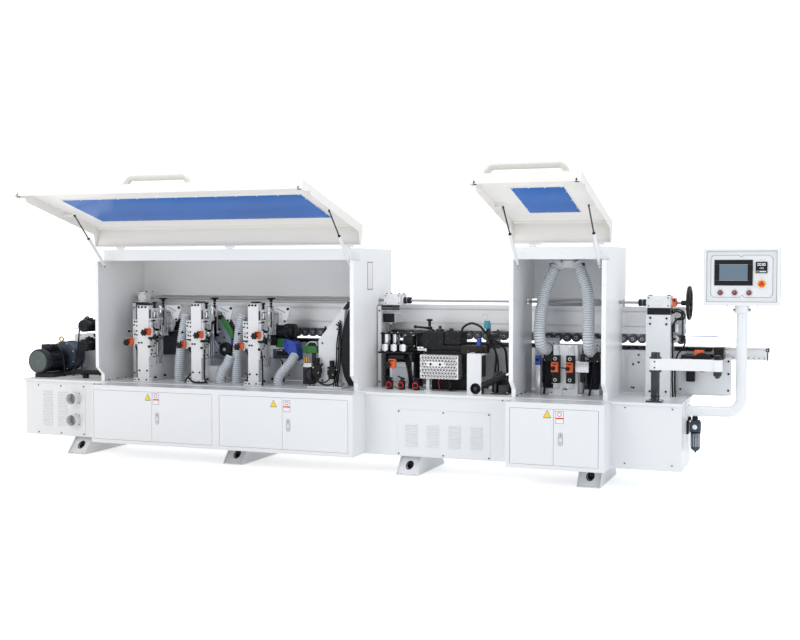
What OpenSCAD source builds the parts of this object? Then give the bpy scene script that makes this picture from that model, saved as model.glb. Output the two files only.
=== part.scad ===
// Automatic edge banding machine, modelled as an assembly of separate parts.
// Millimetres, +Z up, X along the machine (+X is the infeed end), -Y is the operator side.
// Front means -Y and left means -X. The origin is on the floor near the third cross stand,
// in the plane of the base front.

/* [Base] */
// Front to back depth of the base cabinet
base_d = 500; // [480:5:520]
// Width of one cross stand along the machine
stand_w = 165; // [140:5:170]
// Sheet thickness of the front cabinets
cab_t = 3; // [2:0.5:3]
// Clearance round each inset cabinet door
door_gap = 2.5; // [2.5:0.1:3]
// Depth of the folded edge of a door
door_d = 16; // [12:1:18]
// Radius of the door pivot pins
door_pin_r = 2.5; // [2:0.1:3]
// Number of louvres in one column of the middle cover
louvres_mid = 8; // [5:1:8]
// Number of louvres in one column of the left cover
louvres_left = 13; // [9:1:13]
// Outer radius of the dust outlets
outlet_r = 50; // [45:1:52]

/* [Hoods] */
// Sheet thickness of the hoods and lids
sheet = 3; // [2:0.5:3]
// Width of the folded front edge of the hood sides
flange_w = 30; // [24:1:32]
// Depth of the folded edge of the lids
lid_skirt = 65; // [50:1:65]
// Angle between the closed and the open lid
lid_open = 104.5; // [103:0.5:105]
// Thickness of the lid windows
window_t = 4; // [3:0.5:6]
// Radius of the gas strut cylinders
strut_cyl_r = 9; // [8:0.5:10]
// Radius of the gas strut rods
strut_rod_r = 5; // [4:0.5:5.5]

/* [Feed] */
// Pitch of the feed chain pads
pad_pitch = 60; // [55:1:66]
// Pitch of the pressure rollers
roller_pitch = 70; // [68:1:74]
// Radius of the pressure rollers
roller_r = 32; // [30:0.5:32.5]
// Radius of the roller axles
axle_r = 9; // [8:0.5:10]
// Radial running clearance of turning parts
run = 0.05; // [0.03:0.01:0.1]

/* [Height adjustment] */
// Radius of the cross shaft that drives the lift screws
shaft_r = 10; // [8:0.5:11]
// Outer radius of the handwheel
wheel_r = 122; // [110:1:124]
// Radius of the lift screws
screw_r = 10; // [8:0.5:12]

/* [Control panel] */
// Radius of the swivel pipe
pipe_r = 36.5; // [34:0.5:38]
// Radius of the push buttons
button_r = 13; // [11:0.5:14]
// Radius of the emergency stop head
estop_r = 20; // [18:0.5:22]

/* [Hidden] */
$fn = 40;

// Names ending in _x, _y and _z are places on that axis; _r is a radius.

// Base and table
base_x0 = -3440;
base_x1 = 1942;
base_z0 = 135;
base_wall = 4;
table_z = 600;
slab = 19;
base_z1 = table_z - slab;
table_x0 = -3460;
table_y1 = 620;
stand_x = [-2897, -1452, -18, 1322];
// middle planes of the end walls and partitions
wall_x = [base_x0 + base_wall / 2, -2880, -1450, 0, 1340, base_x1 - base_wall / 2];

// Front cabinets: [x0, x1], and door openings [x0, x1, meeting line of the doors]
cabs = [[-2616, -370], [777, 1462]];
cab_y = -240;
cab_z0 = 139;
cab_z1 = 596;
open_z0 = 168;
open_z1 = 557;
openings = [[-2599, -1531, -2065], [-1470, -406, -938], [806, 1424, 1115]];
lip = 3;
pin_in = 5;
latch_r = 7;
latch_z = 348;

// Cross shaft, and lift screws and gearboxes at the left, middle and right
shaft_y = 450;
shaft_z = 1270;
lift_x = [-2556, -338, 1724];
gear_x = [-2546, -300, 1724];
gear_z0 = 1236;
gear_z1 = 1320;

// Front face of the conveyor and pressure beams, and top of the feed line
beam_y0 = 620;
work_z = 945;

// Swivel pipe of the control panel
arm_x = 2308;
arm_y = 240;
pipe_z = 530;
pipe_bend = 98;
pipe_bore = 22;

// Trimming units: [x0, x1, y front, column top]
units = [[-2429, -2323, 130, 1215], [-1928, -1838, 130, 1236], [-1416, -1326, 130, 1239]];
guide_y = [240, 270, 300];
guide_r = 9;

// Hoses standing in the table holes: [foot, top, radius]
table_hoses = [
  [[-2110, 290, 600.5], [-2113, 292, 1100], 38],
  [[-1583, 290, 600.5], [-1585, 292, 1100], 38],
  [[-1720, 215, 603], [-1640, 250, 800], 34],
  [[-1215, 215, 603], [-1110, 250, 765], 34]];

// ---------- helpers ----------
module block(x0, x1, y0, y1, z0, z1)
  translate([x0, y0, z0]) cube([x1 - x0, y1 - y0, z1 - z0]);
// rows of [x0, x1, y0, y1, z0, z1]
module blocks(rows) for (b = rows) block(b[0], b[1], b[2], b[3], b[4], b[5]);

// cylinders that start at x, y, z and run along +X, +Y or +Z
module rod_x(x, y, z, r, length)
  translate([x, y, z]) rotate([0, 90, 0]) cylinder(r = r, h = length);
module rod_y(x, y, z, r, length)
  translate([x, y, z]) rotate([-90, 0, 0]) cylinder(r = r, h = length);
module rod_z(x, y, z, r, length) translate([x, y, z]) cylinder(r = r, h = length);
// rows of [x, y, z, radius, length]
module rods_z(rows) for (c = rows) rod_z(c[0], c[1], c[2], c[3], c[4]);

module tube_x(x, y, z, r, bore, length) difference() {
  rod_x(x, y, z, r, length);
  rod_x(x - 1, y, z, bore, length + 2);
}
module tube_y(x, y, z, r, bore, length) difference() {
  rod_y(x, y, z, r, length);
  rod_y(x, y - 1, z, bore, length + 2);
}
module tube_z(x, y, z, r, bore, length) difference() {
  rod_z(x, y, z, r, length);
  rod_z(x, y, z - 1, bore, length + 2);
}

// profile of (y, z) points drawn out from x0 to x1
module plate_x(x0, x1, profile)
  translate([x0, 0, 0]) rotate([90, 0, 90]) linear_extrude(x1 - x0) polygon(profile);
// profile of (x, z) points drawn out from y0 to y1
module plate_y(y0, y1, profile)
  translate([0, y1, 0]) rotate([90, 0, 0]) linear_extrude(y1 - y0) polygon(profile);

// children, and their mirror image about the middle of x0 and x1
module both_ends(x0, x1) {
  children();
  translate([x0 + x1, 0, 0]) mirror([1, 0, 0]) children();
}

// ---------- base ----------
module cabinet(x0, x1) difference() {
  block(x0, x1, cab_y, 0, cab_z0, cab_z1);
  // inside, less a lip above and below each opening
  difference() {
    block(x0 + cab_t, x1 - cab_t, cab_y + cab_t, 1, cab_z0 + cab_t, cab_z1 - cab_t);
    for (o = openings, z = [open_z1, open_z0 - lip])
      block(o[0] - lip, o[1] + lip, cab_y + cab_t - 1, cab_y + 25, z, z + lip);
  }
  for (o = openings) {
    block(o[0], o[1], cab_y - 1, cab_y + cab_t + 0.01, open_z0, open_z1);
    // door pin holes
    for (x = [o[0] + door_gap + pin_in, o[1] - door_gap - pin_in], z = [open_z0 - 4, open_z1 - 1])
      rod_z(x, cab_y + pin_in, z, door_pin_r + run, 5);
  }
}

module base_frame() color("white") {
  difference() {
    block(base_x0, base_x1, 0, base_d, base_z0, base_z1);
    for (i = [0 : len(wall_x) - 2])
      block(wall_x[i] + base_wall / 2, wall_x[i + 1] - base_wall / 2,
        base_wall, base_d - base_wall, base_z0 + base_wall, base_z1 - base_wall);
    // front openings: behind the doors and behind the vent covers
    for (o = openings) block(o[0], o[1], -1, base_wall + 1, open_z0, open_z1);
    block(-90, 580, -1, base_wall + 1, 165, 455);
    block(-3290, -2870, -1, base_wall + 1, 165, 540);
    rod_x(base_x1 - 5, arm_y, pipe_z, pipe_bore, 6);
  }
  for (c = cabs) cabinet(c[0], c[1]);
}

module table_top() color("whitesmoke") difference() {
  union() {
    block(table_x0, base_x1, 0, table_y1, base_z1, table_z);
    // front strips on either side of the cabinets
    for (s = [[table_x0, cabs[0][0] - 1], [cabs[0][1] + 1, cabs[1][0] - 1], [cabs[1][1] + 1, base_x1]])
      block(s[0], s[1], -20, 0, base_z1, table_z);
  }
  for (hose = table_hoses) rod_z(hose[0].x, hose[0].y, base_z1 - 1, 40, slab + 2);
}

foot_out = 70;
foot_t = 8;
cheek_t = 6;
cap_z = 127;
// (y, z) section of the sloping front web
web = [[-48, foot_t], [-36, foot_t], [82, cap_z], [82, base_z0], [67, base_z0], [67, cap_z]];

module stand(x) {
  x0 = x - stand_w / 2;
  x1 = x + stand_w / 2;
  y1 = base_d + foot_out;
  block(x0, x1, -foot_out, y1, 0, foot_t);
  block(x0, x1, 60, base_d - 60, cap_z, base_z0);
  for (cheek_x = [x0, x1 - cheek_t])
    plate_x(cheek_x, cheek_x + cheek_t, [[-foot_out, 0], [-foot_out, foot_t], [45, base_z0],
      [base_d - 45, base_z0], [y1, foot_t], [y1, 0]]);
  difference() {
    union() {
      plate_x(x0, x1, web);
      plate_x(x0, x1, [for (p = web) [base_d - p[0], p[1]]]);
    }
    for (y = [-80, base_d - 75]) rod_y(x, y, 68, 23, 155);
  }
}
module cross_stands() color("lightgrey") for (x = stand_x) stand(x);

cover_t = 3;
louvre_w = 96;
// louvre grids: [column places x, number in a column, lowest z, pitch]
mid_grid = [[-49, 117, 283, 448], louvres_mid, 212, 22];
left_grid = [[-3265, -3120], louvres_left, 217, 23];
outlet_x = -2945;
outlet_z = [451, 273];
outlet_bore = outlet_r - 4;

module on_grid(grid)
  for (x = grid[0], i = [0 : grid[1] - 1]) translate([x, 0, grid[2] + i * grid[3]]) children();
module slot() block(4, louvre_w - 4, -cover_t - 1, 1, 0, 3);
module louvre() difference() {
  plate_x(0, louvre_w, [[-3, 0], [-10, 1.5], [-10, 3], [-3, 13]]);
  block(2, louvre_w - 2, -9, -2, -1, 2.2);
}

module vent_covers() color("white") {
  difference() {
    block(-112, 602, -cover_t, 0, 142, 478);
    on_grid(mid_grid) slot();
  }
  on_grid(mid_grid) louvre();
  difference() {
    block(-3320, -2850, -cover_t, 0, 145, 560);
    on_grid(left_grid) slot();
    for (z = outlet_z) rod_y(outlet_x, -cover_t - 1, z, outlet_bore, cover_t + 2);
  }
  on_grid(left_grid) louvre();
}

module dust_outlets() color("whitesmoke")
  for (z = outlet_z) tube_y(outlet_x, -63, z, outlet_r, outlet_bore, 60);

// centre of the lock in the right-hand door of an opening
function lock_x(opening) = opening[2] + door_gap / 2 + 48;

// the left door is hinged on its left edge; the right door on its right, and it has the lock
module door(opening, left) {
  x0 = left ? opening[0] + door_gap : opening[2] + door_gap / 2;
  x1 = left ? opening[2] - door_gap / 2 : opening[1] - door_gap;
  pin_x = left ? x0 + pin_in : x1 - pin_in;
  z0 = open_z0 + 2;
  z1 = open_z1 - 2;
  skin = 1.5;
  pin_block = 12;
  lock = lock_x(opening);
  difference() {
    union() {
      difference() {
        block(x0, x1, cab_y, cab_y + door_d, z0, z1);
        block(x0 + skin, x1 - skin, cab_y + skin, cab_y + door_d + 1, z0 + skin, z1 - skin);
      }
      for (z = [z0, z1 - pin_block])
        block(pin_x - pin_in, pin_x + pin_in, cab_y, cab_y + door_d - 2, z, z + pin_block);
      if (!left) {
        // backing block and oval lock plate
        block(lock - 28, lock + 28, cab_y + skin, cab_y + 12, 320, 400);
        block(lock - 15, lock + 15, cab_y - 2, cab_y, latch_z - 26, latch_z + 34);
        for (z = [latch_z - 26, latch_z + 34]) rod_y(lock, cab_y - 2, z, 15, 2);
      }
    }
    if (!left) rod_y(lock, cab_y - 3, latch_z, latch_r + run, 20);
  }
  for (z = [z0 - 4, z1]) rod_z(pin_x, cab_y + pin_in, z, door_pin_r, 4);
}
module cabinet_door_1() color("white") door(openings[0], true);
module cabinet_door_2() color("white") door(openings[0], false);
module cabinet_door_3() color("white") door(openings[1], true);
module cabinet_door_4() color("white") door(openings[1], false);
module cabinet_door_5() color("white") door(openings[2], true);
module cabinet_door_6() color("white") door(openings[2], false);

// quarter turn lock core with its slot, and the cam behind the door
module latch(opening) {
  x = lock_x(opening);
  difference() {
    rod_y(x, cab_y - 3.5, latch_z, latch_r, 17.5);
    block(x - 1, x + 1, cab_y - 4, cab_y - 2, latch_z - 5, latch_z + 5);
  }
  block(x - 20, x + 6, cab_y + 14, cab_y + 17, latch_z - 6, latch_z + 6);
}
module door_latch_1() color("silver") latch(openings[0]);
module door_latch_2() color("silver") latch(openings[1]);
module door_latch_3() color("silver") latch(openings[2]);

// ---------- hoods ----------
// Every table here has one row for hood A and one for hood B.
hood_x = [[-2690, -430], [755, 1437]];
hood_y0 = -75;
hood_y1 = 705;
hood_z1 = 1667;
step_y = 50;
step_z = 1575;
lid_x = [[-2750, -418], [740, 1450]];
lid_y0 = -125;
lid_y1 = 27;
lid_z0 = 612;
lid_z1 = 1690;
hinge_x = [[-2560, -1560, -560], [870, 1320]];
hinge_y = 35;
hinge_z = 1684;
knuckle_w = 40;
knuckle_r = 7;
hinge_pin_r = 3;
// struts start at the hood studs and reach the lid studs
strut_x = [[-2640, -480], [800, 1380]];
strut_y = 0;
strut_z = 1527;
strut_angle = 135.1436;
strut_len = 564.273;
strut_cyl_l = 318;
hood_stud_r = 4;
lid_stud_r = 5;
lid_stud_y = -89.41;
lid_stud_z = 1202.51;
// [x0, x1, upper and lower edge measured down from lid_z1]
windows = [[-2545, -585, 250, 770], [942, 1265, 275, 790]];
handle_x = [[-1860, -1306], [805, 1365]];

// (y, z) front edge of a hood side, from the table up
hood_front = [[0, table_z], [0, 660], [hood_y0, 720], [hood_y0, step_z]];
// [y0, y1, z0, z1] of the sheets between the hood sides
hood_panels = [
  [step_y, hood_y1, hood_z1 - sheet, hood_z1],
  [step_y, step_y + sheet, 1580, hood_z1 - sheet],
  [step_y + sheet, 110, 1580, 1580 + sheet],
  [hood_y1 - sheet, hood_y1, 1290, hood_z1 - sheet],
  [640, 640 + sheet, 1290, hood_z1 - sheet]];

// left side of a hood, with its outer face at x = 0
module hood_side() difference() {
  union() {
    plate_x(0, sheet, concat(hood_front, [[step_y, step_z], [step_y, hood_z1],
      [hood_y1, hood_z1], [hood_y1, 1286], [570, 1286], [570, table_z]]));
    plate_x(0, flange_w, concat(hood_front, [[hood_y0 + sheet, step_z],
      [hood_y0 + sheet, 721.5], [sheet, 661.5], [sheet, table_z]]));
    block(0, flange_w, hood_y0, step_y, step_z - sheet, step_z);
    block(sheet, 34, 40, 370, table_z, table_z + 4);
  }
  rod_x(-40, shaft_y, shaft_z, 20, 80);
}

// fixed hinge knuckle with its leaf and pin
module fixed_knuckle(x) {
  rod_x(x, hinge_y, hinge_z, knuckle_r, knuckle_w);
  plate_x(x, x + knuckle_w, [[hinge_y, hinge_z - 7], [hinge_y, hinge_z - 1], [62, hinge_z - 8],
    [95, hood_z1 + 3], [95, hood_z1], [52, hood_z1], [52, hinge_z - 12]]);
  rod_x(x + knuckle_w - 1, hinge_y, hinge_z, hinge_pin_r, 43);
}

module hood(i) {
  x0 = hood_x[i][0];
  x1 = hood_x[i][1];
  in_x0 = x0 + sheet;
  in_x1 = x1 - sheet;
  left = strut_x[i][0];
  right = strut_x[i][1];
  both_ends(x0, x1) translate([x0, 0, 0]) hood_side();
  for (p = hood_panels) block(in_x0, in_x1, p[0], p[1], p[2], p[3]);
  // strut studs and their end collars
  rod_x(in_x0 - 1, strut_y, strut_z, hood_stud_r, left + 8 - in_x0 + 1);
  rod_x(right - 8, strut_y, strut_z, hood_stud_r, in_x1 + 1 - right + 8);
  for (x = [left + 7, right - 10]) rod_x(x, strut_y, strut_z, 6, 3);
  for (x = hinge_x[i]) fixed_knuckle(x);
}
module hood_a() color("white") hood(0);
module hood_b() color("white") hood(1);

// lid parts are drawn closed, then swung open about the hinge axis
module open_lid() translate([0, hinge_y, hinge_z]) rotate([-lid_open, 0, 0])
  translate([0, -hinge_y, -hinge_z]) children();

module moving_knuckle(x) difference() {
  union() {
    rod_x(x, hinge_y, hinge_z, knuckle_r, knuckle_w);
    block(x, x + knuckle_w, lid_y1, hinge_y, hinge_z - 5, hinge_z + 5);
  }
  rod_x(x - 2.5, hinge_y, hinge_z, hinge_pin_r + run, 46);
}

// vertical prism that trims the lid handle
module handle_cut(outline) translate([0, 0, 650]) linear_extrude(40) polygon(outline);
// grab handle on the outside, near the free edge
module lid_handle(x0, x1) difference() {
  block(x0, x1, lid_y0 - 78, lid_y0, 655, 685);
  block(x0 + 60, x1 - 60, lid_y0 - 50, lid_y0 + 1, 650, 690);
  both_ends(x0, x1) {
    handle_cut([[x0 - 1, lid_y0 - 1], [x0 - 1, lid_y0 - 79], [x0 + 42, lid_y0 - 79], [x0, lid_y0 - 10]]);
    handle_cut([[x0 + 30, lid_y0 + 1], [x0 + 61, lid_y0 - 50], [x0 + 61, lid_y0 + 1]]);
  }
}

module lid(i) open_lid() {
  x0 = lid_x[i][0];
  x1 = lid_x[i][1];
  pane = windows[i];
  left = strut_x[i][0] - 10;
  right = strut_x[i][1] + 10;
  skirt_y = lid_y0 + lid_skirt;
  difference() {
    union() {
      block(x0, x1, lid_y0, lid_y0 + sheet, lid_z0, lid_z1);
      block(x0, x1, lid_y0, lid_y1, lid_z1 - sheet, lid_z1);
      block(x0, x1, lid_y0, skirt_y, lid_z0, lid_z0 + sheet);
      block(x0, x1, lid_y1 - 3, lid_y1, lid_z1 - 24, lid_z1);
      // sides, with a notch near the free edge
      for (x = [x0, x1 - sheet])
        plate_x(x, x + sheet, [[lid_y0, lid_z0], [skirt_y, lid_z0], [skirt_y, lid_z0 + 60],
          [skirt_y - 22, lid_z0 + 110], [skirt_y - 22, lid_z0 + 130], [skirt_y, lid_z0 + 150],
          [skirt_y, lid_z1 - lid_skirt], [lid_y1, lid_z1 - 24], [lid_y1, lid_z1], [lid_y0, lid_z1]]);
    }
    block(pane[0], pane[1], lid_y0 - 1, lid_y0 + sheet + 1, lid_z1 - pane[3], lid_z1 - pane[2]);
  }
  for (x = hinge_x[i]) moving_knuckle(x + knuckle_w + 0.5);
  // strut studs on the lid sides
  rod_x(x0 + sheet - 1, lid_stud_y, lid_stud_z, lid_stud_r, left - x0 - sheet + 1);
  rod_x(right, lid_stud_y, lid_stud_z, lid_stud_r, x1 - sheet + 1 - right);
  // round buffers at the two free corners
  for (x = [x0 + 25, x1 - 25]) rod_y(x, lid_y0 + sheet, lid_z0 + 25, 12, 45);
  lid_handle(handle_x[i][0], handle_x[i][1]);
}
module lid_a() color("white") lid(0);
module lid_b() color("white") lid(1);

// the pane overlaps its opening all round
module window(i, overlap = 15) open_lid()
  block(windows[i][0] - overlap, windows[i][1] + overlap, lid_y0 + sheet, lid_y0 + sheet + window_t,
    lid_z1 - windows[i][3] - overlap, lid_z1 - windows[i][2] + overlap);
module lid_a_window() color("dodgerblue") window(0);
module lid_b_window() color("dodgerblue") window(1);

// strut parts are drawn along +Y from the hood stud
module at_struts(i)
  for (x = strut_x[i]) translate([x, strut_y, strut_z]) rotate([strut_angle, 0, 0]) children();
module strut_cylinder() difference() {
  union() {
    rod_x(-5, 0, 0, 11, 10);
    rod_y(0, 8, 0, 4.5, 14);
    rod_y(0, 20, 0, strut_cyl_r, strut_cyl_l - 20);
  }
  rod_x(-6, 0, 0, hood_stud_r + run, 12);
  rod_y(0, 50, 0, strut_rod_r + run, strut_cyl_l);
}
module strut_rod() {
  rod_y(0, strut_cyl_l - 30, 0, strut_rod_r, strut_len - 8 - strut_cyl_l + 30);
  tube_x(-5, strut_len, 0, 9, lid_stud_r + 0.5, 10);
}
module strut_cylinders_a() color("silver") at_struts(0) strut_cylinder();
module strut_rods_a() color("dimgrey") at_struts(0) strut_rod();
module strut_cylinders_b() color("silver") at_struts(1) strut_cylinder();
module strut_rods_b() color("dimgrey") at_struts(1) strut_rod();

// ---------- feed line ----------
pad_z0 = 925;
chain_x = [-3200, 2110];
pads = floor((chain_x[1] - chain_x[0]) / pad_pitch);
track_z = 905;
beam_x = [-2670, 1880];
beam_z = [1035, 1235];
roller_z = 965 + roller_r;
roller_x = [-2625, 1855];
rollers = floor((roller_x[1] - roller_x[0]) / roller_pitch) + 1;
nut_z = [1096, 1096, 1055];

module conveyor_beam() color("whitesmoke") {
  difference() {
    block(-3400, 2180, beam_y0, 760, 600, track_z);
    block(-3401, 2181, beam_y0 + 6, 754, 606, track_z - 6);
  }
  // chain track on top of the beam
  difference() {
    block(-3380, 2180, beam_y0, 690, track_z, track_z + 12);
    block(-3381, 2181, 640, 664, track_z + 3, track_z + 13);
  }
  block(base_x1, 2170, 606, beam_y0, 600, 612);
  // bearing blocks at the left end
  for (y = [beam_y0, 700]) block(-3400, -3340, y, y + 20, track_z, 940);
}

module conveyor_rail() color("silver") difference() {
  blocks([
    [-3330, 2462, 692, 742, 917, work_z],
    [-3330, 2186, 692, 742, track_z, 917],
    [2186, 2456, 692, 732, 857, 917]]);
  block(-3390, 2470, 710, 724, work_z - 5, work_z + 1);
  block(2180, 2470, 690, 696, 880, 888);
}

module chain_pads() color("dimgrey")
  for (i = [0 : pads - 1]) translate([chain_x[0] + i * pad_pitch, 0, 0]) {
    block(2, pad_pitch - 2, 606, 688, pad_z0 + 4, work_z);
    block(6, pad_pitch - 6, 612, 682, pad_z0 - 7.9, pad_z0 + 4);
    rod_y(pad_pitch / 2, 641, pad_z0 - 8, 7, 22);
  }

module pressure_beam() color("gainsboro") {
  cut_x0 = beam_x[0] - 1;
  cut_x1 = beam_x[1] + 1;
  difference() {
    block(beam_x[0], beam_x[1], beam_y0, 700, beam_z[0], beam_z[1]);
    // T slots in the front face
    for (z = [1085, 1195]) {
      block(cut_x0, cut_x1, beam_y0 - 1, beam_y0 + 5, z, z + 9);
      block(cut_x0, cut_x1, beam_y0 + 5, beam_y0 + 12, z - 5, z + 14);
    }
    // hollow chambers
    for (z = [[1045, 1078], [1112, 1185], [1212, 1226]])
      block(cut_x0, cut_x1, beam_y0 + 18, 692, z[0], z[1]);
  }
  // roller plate and stub axles
  block(beam_x[0] + 10, beam_x[1] - 6, 664, 672, roller_z - 14, beam_z[0]);
  for (i = [0 : rollers - 1]) rod_y(roller_x[0] + i * roller_pitch, 604, roller_z, axle_r, 61);
  // nut blocks on the lift screws
  for (i = [0 : 2]) difference() {
    block(lift_x[i] - 46, lift_x[i] + 46, 408, beam_y0, nut_z[i], nut_z[i] + 74);
    rod_z(lift_x[i], shaft_y, nut_z[i] - 1, screw_r + run, 76);
  }
}

// (radius, depth) section of a roller with a hub boss at each end
roller_section = [
  [axle_r + run, 3], [22, 3], [22, 0], [roller_r - 2, 0], [roller_r, 2],
  [roller_r, 44], [roller_r - 2, 46], [22, 46], [22, 50], [axle_r + run, 50]];
module pressure_rollers() color("slategrey") for (i = [0 : rollers - 1])
  translate([roller_x[0] + i * roller_pitch, 608, roller_z]) rotate([-90, 0, 0])
    rotate_extrude() polygon(roller_section);

// ---------- height adjustment ----------
right_column_z = 1185;
wheel_x = 1932;
rim_r = 12;
hub_r = 18;

module right_column() difference() {
  x = lift_x[2];
  block(x - 86, x + 86, 380, 600, table_z, right_column_z);
  block(x - 80, x + 80, 386, 601, table_z + 14, right_column_z - 10);
  rod_z(x, shaft_y, right_column_z - 12, screw_r + 3, 14);
}
module lift_columns() color("white") {
  right_column();
  // slim posts carry the left and middle gearboxes
  for (i = [0, 1]) {
    x = lift_x[i];
    block(x - 80, x - 52, 380, 570, table_z, gear_z0 - 8);
    difference() {
      block(x - 80, gear_x[i] + 68, 380, 520, gear_z0 - 8, gear_z0);
      rod_z(x, shaft_y, gear_z0 - 9, screw_r + 3, 10);
    }
  }
  // screws stand in the gearboxes and pass the nut blocks
  for (x = lift_x) rod_z(x, shaft_y, 1040, screw_r, 205);
}

module gearbox(i, width) difference() {
  x = gear_x[i];
  block(x - width / 2, x + width / 2, 382, 518, gear_z0, gear_z1);
  rod_x(x - width, shaft_y, shaft_z, shaft_r + run, 2 * width);
  rod_z(lift_x[i], shaft_y, gear_z0 - 1, screw_r + 1, 12);
}
module lift_gearboxes() color("white") {
  gearbox(0, 76);
  gearbox(1, 135);
  gearbox(2, 170);
  // spacer on the right column
  difference() {
    block(lift_x[2] - 78, lift_x[2] + 78, 388, 560, right_column_z, gear_z0);
    rod_z(lift_x[2], shaft_y, right_column_z - 1, screw_r + 1, 60);
  }
}

module lift_shaft() color("silver") {
  rod_x(-2660, shaft_y, shaft_z, shaft_r, 4620);
  for (x = [-226, 1576]) tube_x(x, shaft_y, shaft_z, 24, shaft_r, 58);
}

module handwheel() color("dimgrey") translate([wheel_x, shaft_y, shaft_z]) rotate([0, 90, 0]) {
  rotate_extrude() translate([wheel_r - rim_r, 0]) circle(r = rim_r);
  difference() {
    union() {
      translate([0, 0, -20]) cylinder(r = 24, h = 40);
      translate([0, 0, -56]) cylinder(r = hub_r, h = 37);
      for (a = [0, 120, 240])
        rotate([0, 0, a]) translate([hub_r, -9, -5]) cube([wheel_r - 2 * hub_r, 18, 10]);
    }
    translate([0, 0, -57]) cylinder(r = shaft_r, h = 78);
  }
}

// ---------- drives ----------
// motor along +Y with a thicker front part
module motor(x, y, z, r, length, front = 60) {
  rod_y(x, y, z, r, front);
  rod_y(x, y + front, z, r - 6, length - front);
}
module electric_motors() color("dimgrey") {
  // large motor at the left end, with a round housing behind it
  motor(-3385, 95, 735, 103, 300);
  rod_y(-3360, 395, 760, 128, 150);
  block(-3470, -3250, 405, 535, table_z, 640);
  block(-3440, -3260, 120, 395, table_z, 633);
  tube_y(-3370, 460, 902, 26, 14, 14);
  // two motors, one above the other, and their bracket
  for (z = [1028, 862]) motor(-3060, 335, z, 52, 235);
  blocks([
    [-3070, -3050, 500, 560, table_z, 812],
    [-3000, -2960, 470, 560, table_z, 1070],
    [-3012, -2960, 470, 500, 990, 1060],
    [-3012, -2960, 470, 500, 830, 900]]);
  // cylinder lying along the left end of the table
  rod_x(-3100, 180, 650, 22, 290);
  block(-2990, -2950, 160, 200, table_z, 632);
  // two upright motors in hood B
  for (x = [930, 1262]) {
    rod_z(x, 400, 640, 48, 300);
    block(x - 55, x + 55, 330, 470, table_z, 640);
  }
  // lying cylinder and block between the hoods
  rod_x(430, 150, 660, 26, 180);
  block(560, 690, 130, 330, table_z, 700);
}

// ---------- trimming units ----------
// frame of the slanted rail on the end trimming pedestal
slant_angle = atan2(180, 140);
module slant() translate([-735, 0, 1050]) rotate([0, -slant_angle, 0]) children();
// lower and upper edge of the rail in that frame
rail_z = [-30, -16];

function guide_x(unit) = unit[1] - 14;

module unit_column(unit) {
  x0 = unit[0];
  x1 = unit[1];
  y = unit[2];
  block(x0, x1, y, y + 60, table_z, unit[3]);
  block(x0 - 32, x1 + 30, y - 12, y, table_z, table_z + 26);
  block(x0 + 8, x1, y + 60, 520, table_z, 790);
  for (rod = guide_y) rod_z(guide_x(unit), rod, 790, guide_r, 370);
  block(x1 - 30, x1, y + 60, 316, 1160, 1190);
}
module unit_columns() color("white") {
  for (unit = units) unit_column(unit);
  // end trimming pedestal and its slanted rail
  plate_y(200, 262, [[-862, table_z], [-650, table_z], [-650, 640], [-672, 640], [-618, 1195],
    [-640, 1205], [-840, 965], [-840, 640], [-862, 640]]);
  slant() block(10, 170, 262, 270, rail_z[0], rail_z[1]);
  // pedestal in hood B, open at the back, with a rounded notch in its front
  difference() {
    block(1002, 1176, 240, 330, table_z, 966);
    block(1010, 1168, 248, 331, 640, 958);
    block(1067, 1111, 239, 249, table_z - 1, 645);
    rod_y(1089, 239, 645, 23, 10);
  }
  blocks([
    // two plates on its front
    [992, 1054, 226, 240, 686, 892],
    [1100, 1162, 226, 240, 686, 892],
    // upright plates on either side of it
    [820, 990, 470, 500, table_z, 1000],
    [1190, 1330, 470, 500, table_z, 1000],
    // angle bracket in front of the glue unit
    [392, 499, 100, 118, table_z, 895],
    [392, 410, 118, 300, table_z, 895]]);
}

// slide on the guide rods, with an arm plate behind it
module head_slide(unit) {
  x = unit[1];
  difference() {
    block(x - 32, x + 8, 222, 318, 830, 1090);
    for (rod = guide_y) rod_z(guide_x(unit), rod, 829, guide_r + run, 262);
  }
  plate_y(330, 338, [[x - 20, 1150], [x - 20, 1215], [x + 290, 1225], [x + 290, 1105],
    [x + 262, 1100], [x + 220, 1180], [x + 60, 1150]]);
  block(x - 20, x + 8, 318, 330, 1060, 1090);
  block(x - 20, x + 8, 318, 338, 1090, 1215);
}
module scraper_head() color("gainsboro") {
  head_slide(units[0]);
  blocks([
    [-2296, -2215, 338, 520, 800, 972],
    [-2343, -2296, 338, 380, 900, 972],
    [-2343, -2315, 318, 338, 900, 1060]]);
}
module fine_trim_head() color("gainsboro") {
  head_slide(units[1]);
  blocks([
    [-1806, -1690, 345, 520, 790, 1050],
    [-1858, -1806, 345, 380, 900, 1050],
    [-1858, -1830, 318, 345, 900, 1060]]);
  rod_z(-1742, 430, 1050, 52, 80);
}
module rough_trim_head() color("gainsboro") {
  head_slide(units[2]);
  rod_x(-1300, 420, 1010, 48, 200);
  blocks([
    [-1290, -1110, 345, 480, 895, 972],
    [-1140, -1040, 345, 460, 775, 895],
    [-1346, -1290, 345, 380, 900, 1040],
    [-1346, -1318, 318, 345, 900, 1060]]);
}

saw_x = -560;
saw_z = 1060;
module end_trim_saw() color("dimgrey") {
  // carriage on the slanted rail
  slant() difference() {
    block(0, 230, 263, 283, -46, 0);
    block(-1, 231, 262, 270.1, rail_z[0] - run, rail_z[1] + run);
  }
  plate_y(276, 300, [[-720, 1062], [-560, 900], [-500, 960], [-500, 1180], [-560, 1240]]);
  // motor, spindle and blade
  rod_y(saw_x, 290, saw_z, 62, 160);
  rod_y(saw_x, 440, saw_z, 12, 50);
  rod_y(saw_x, 480, saw_z, 85, 6);
}

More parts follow.
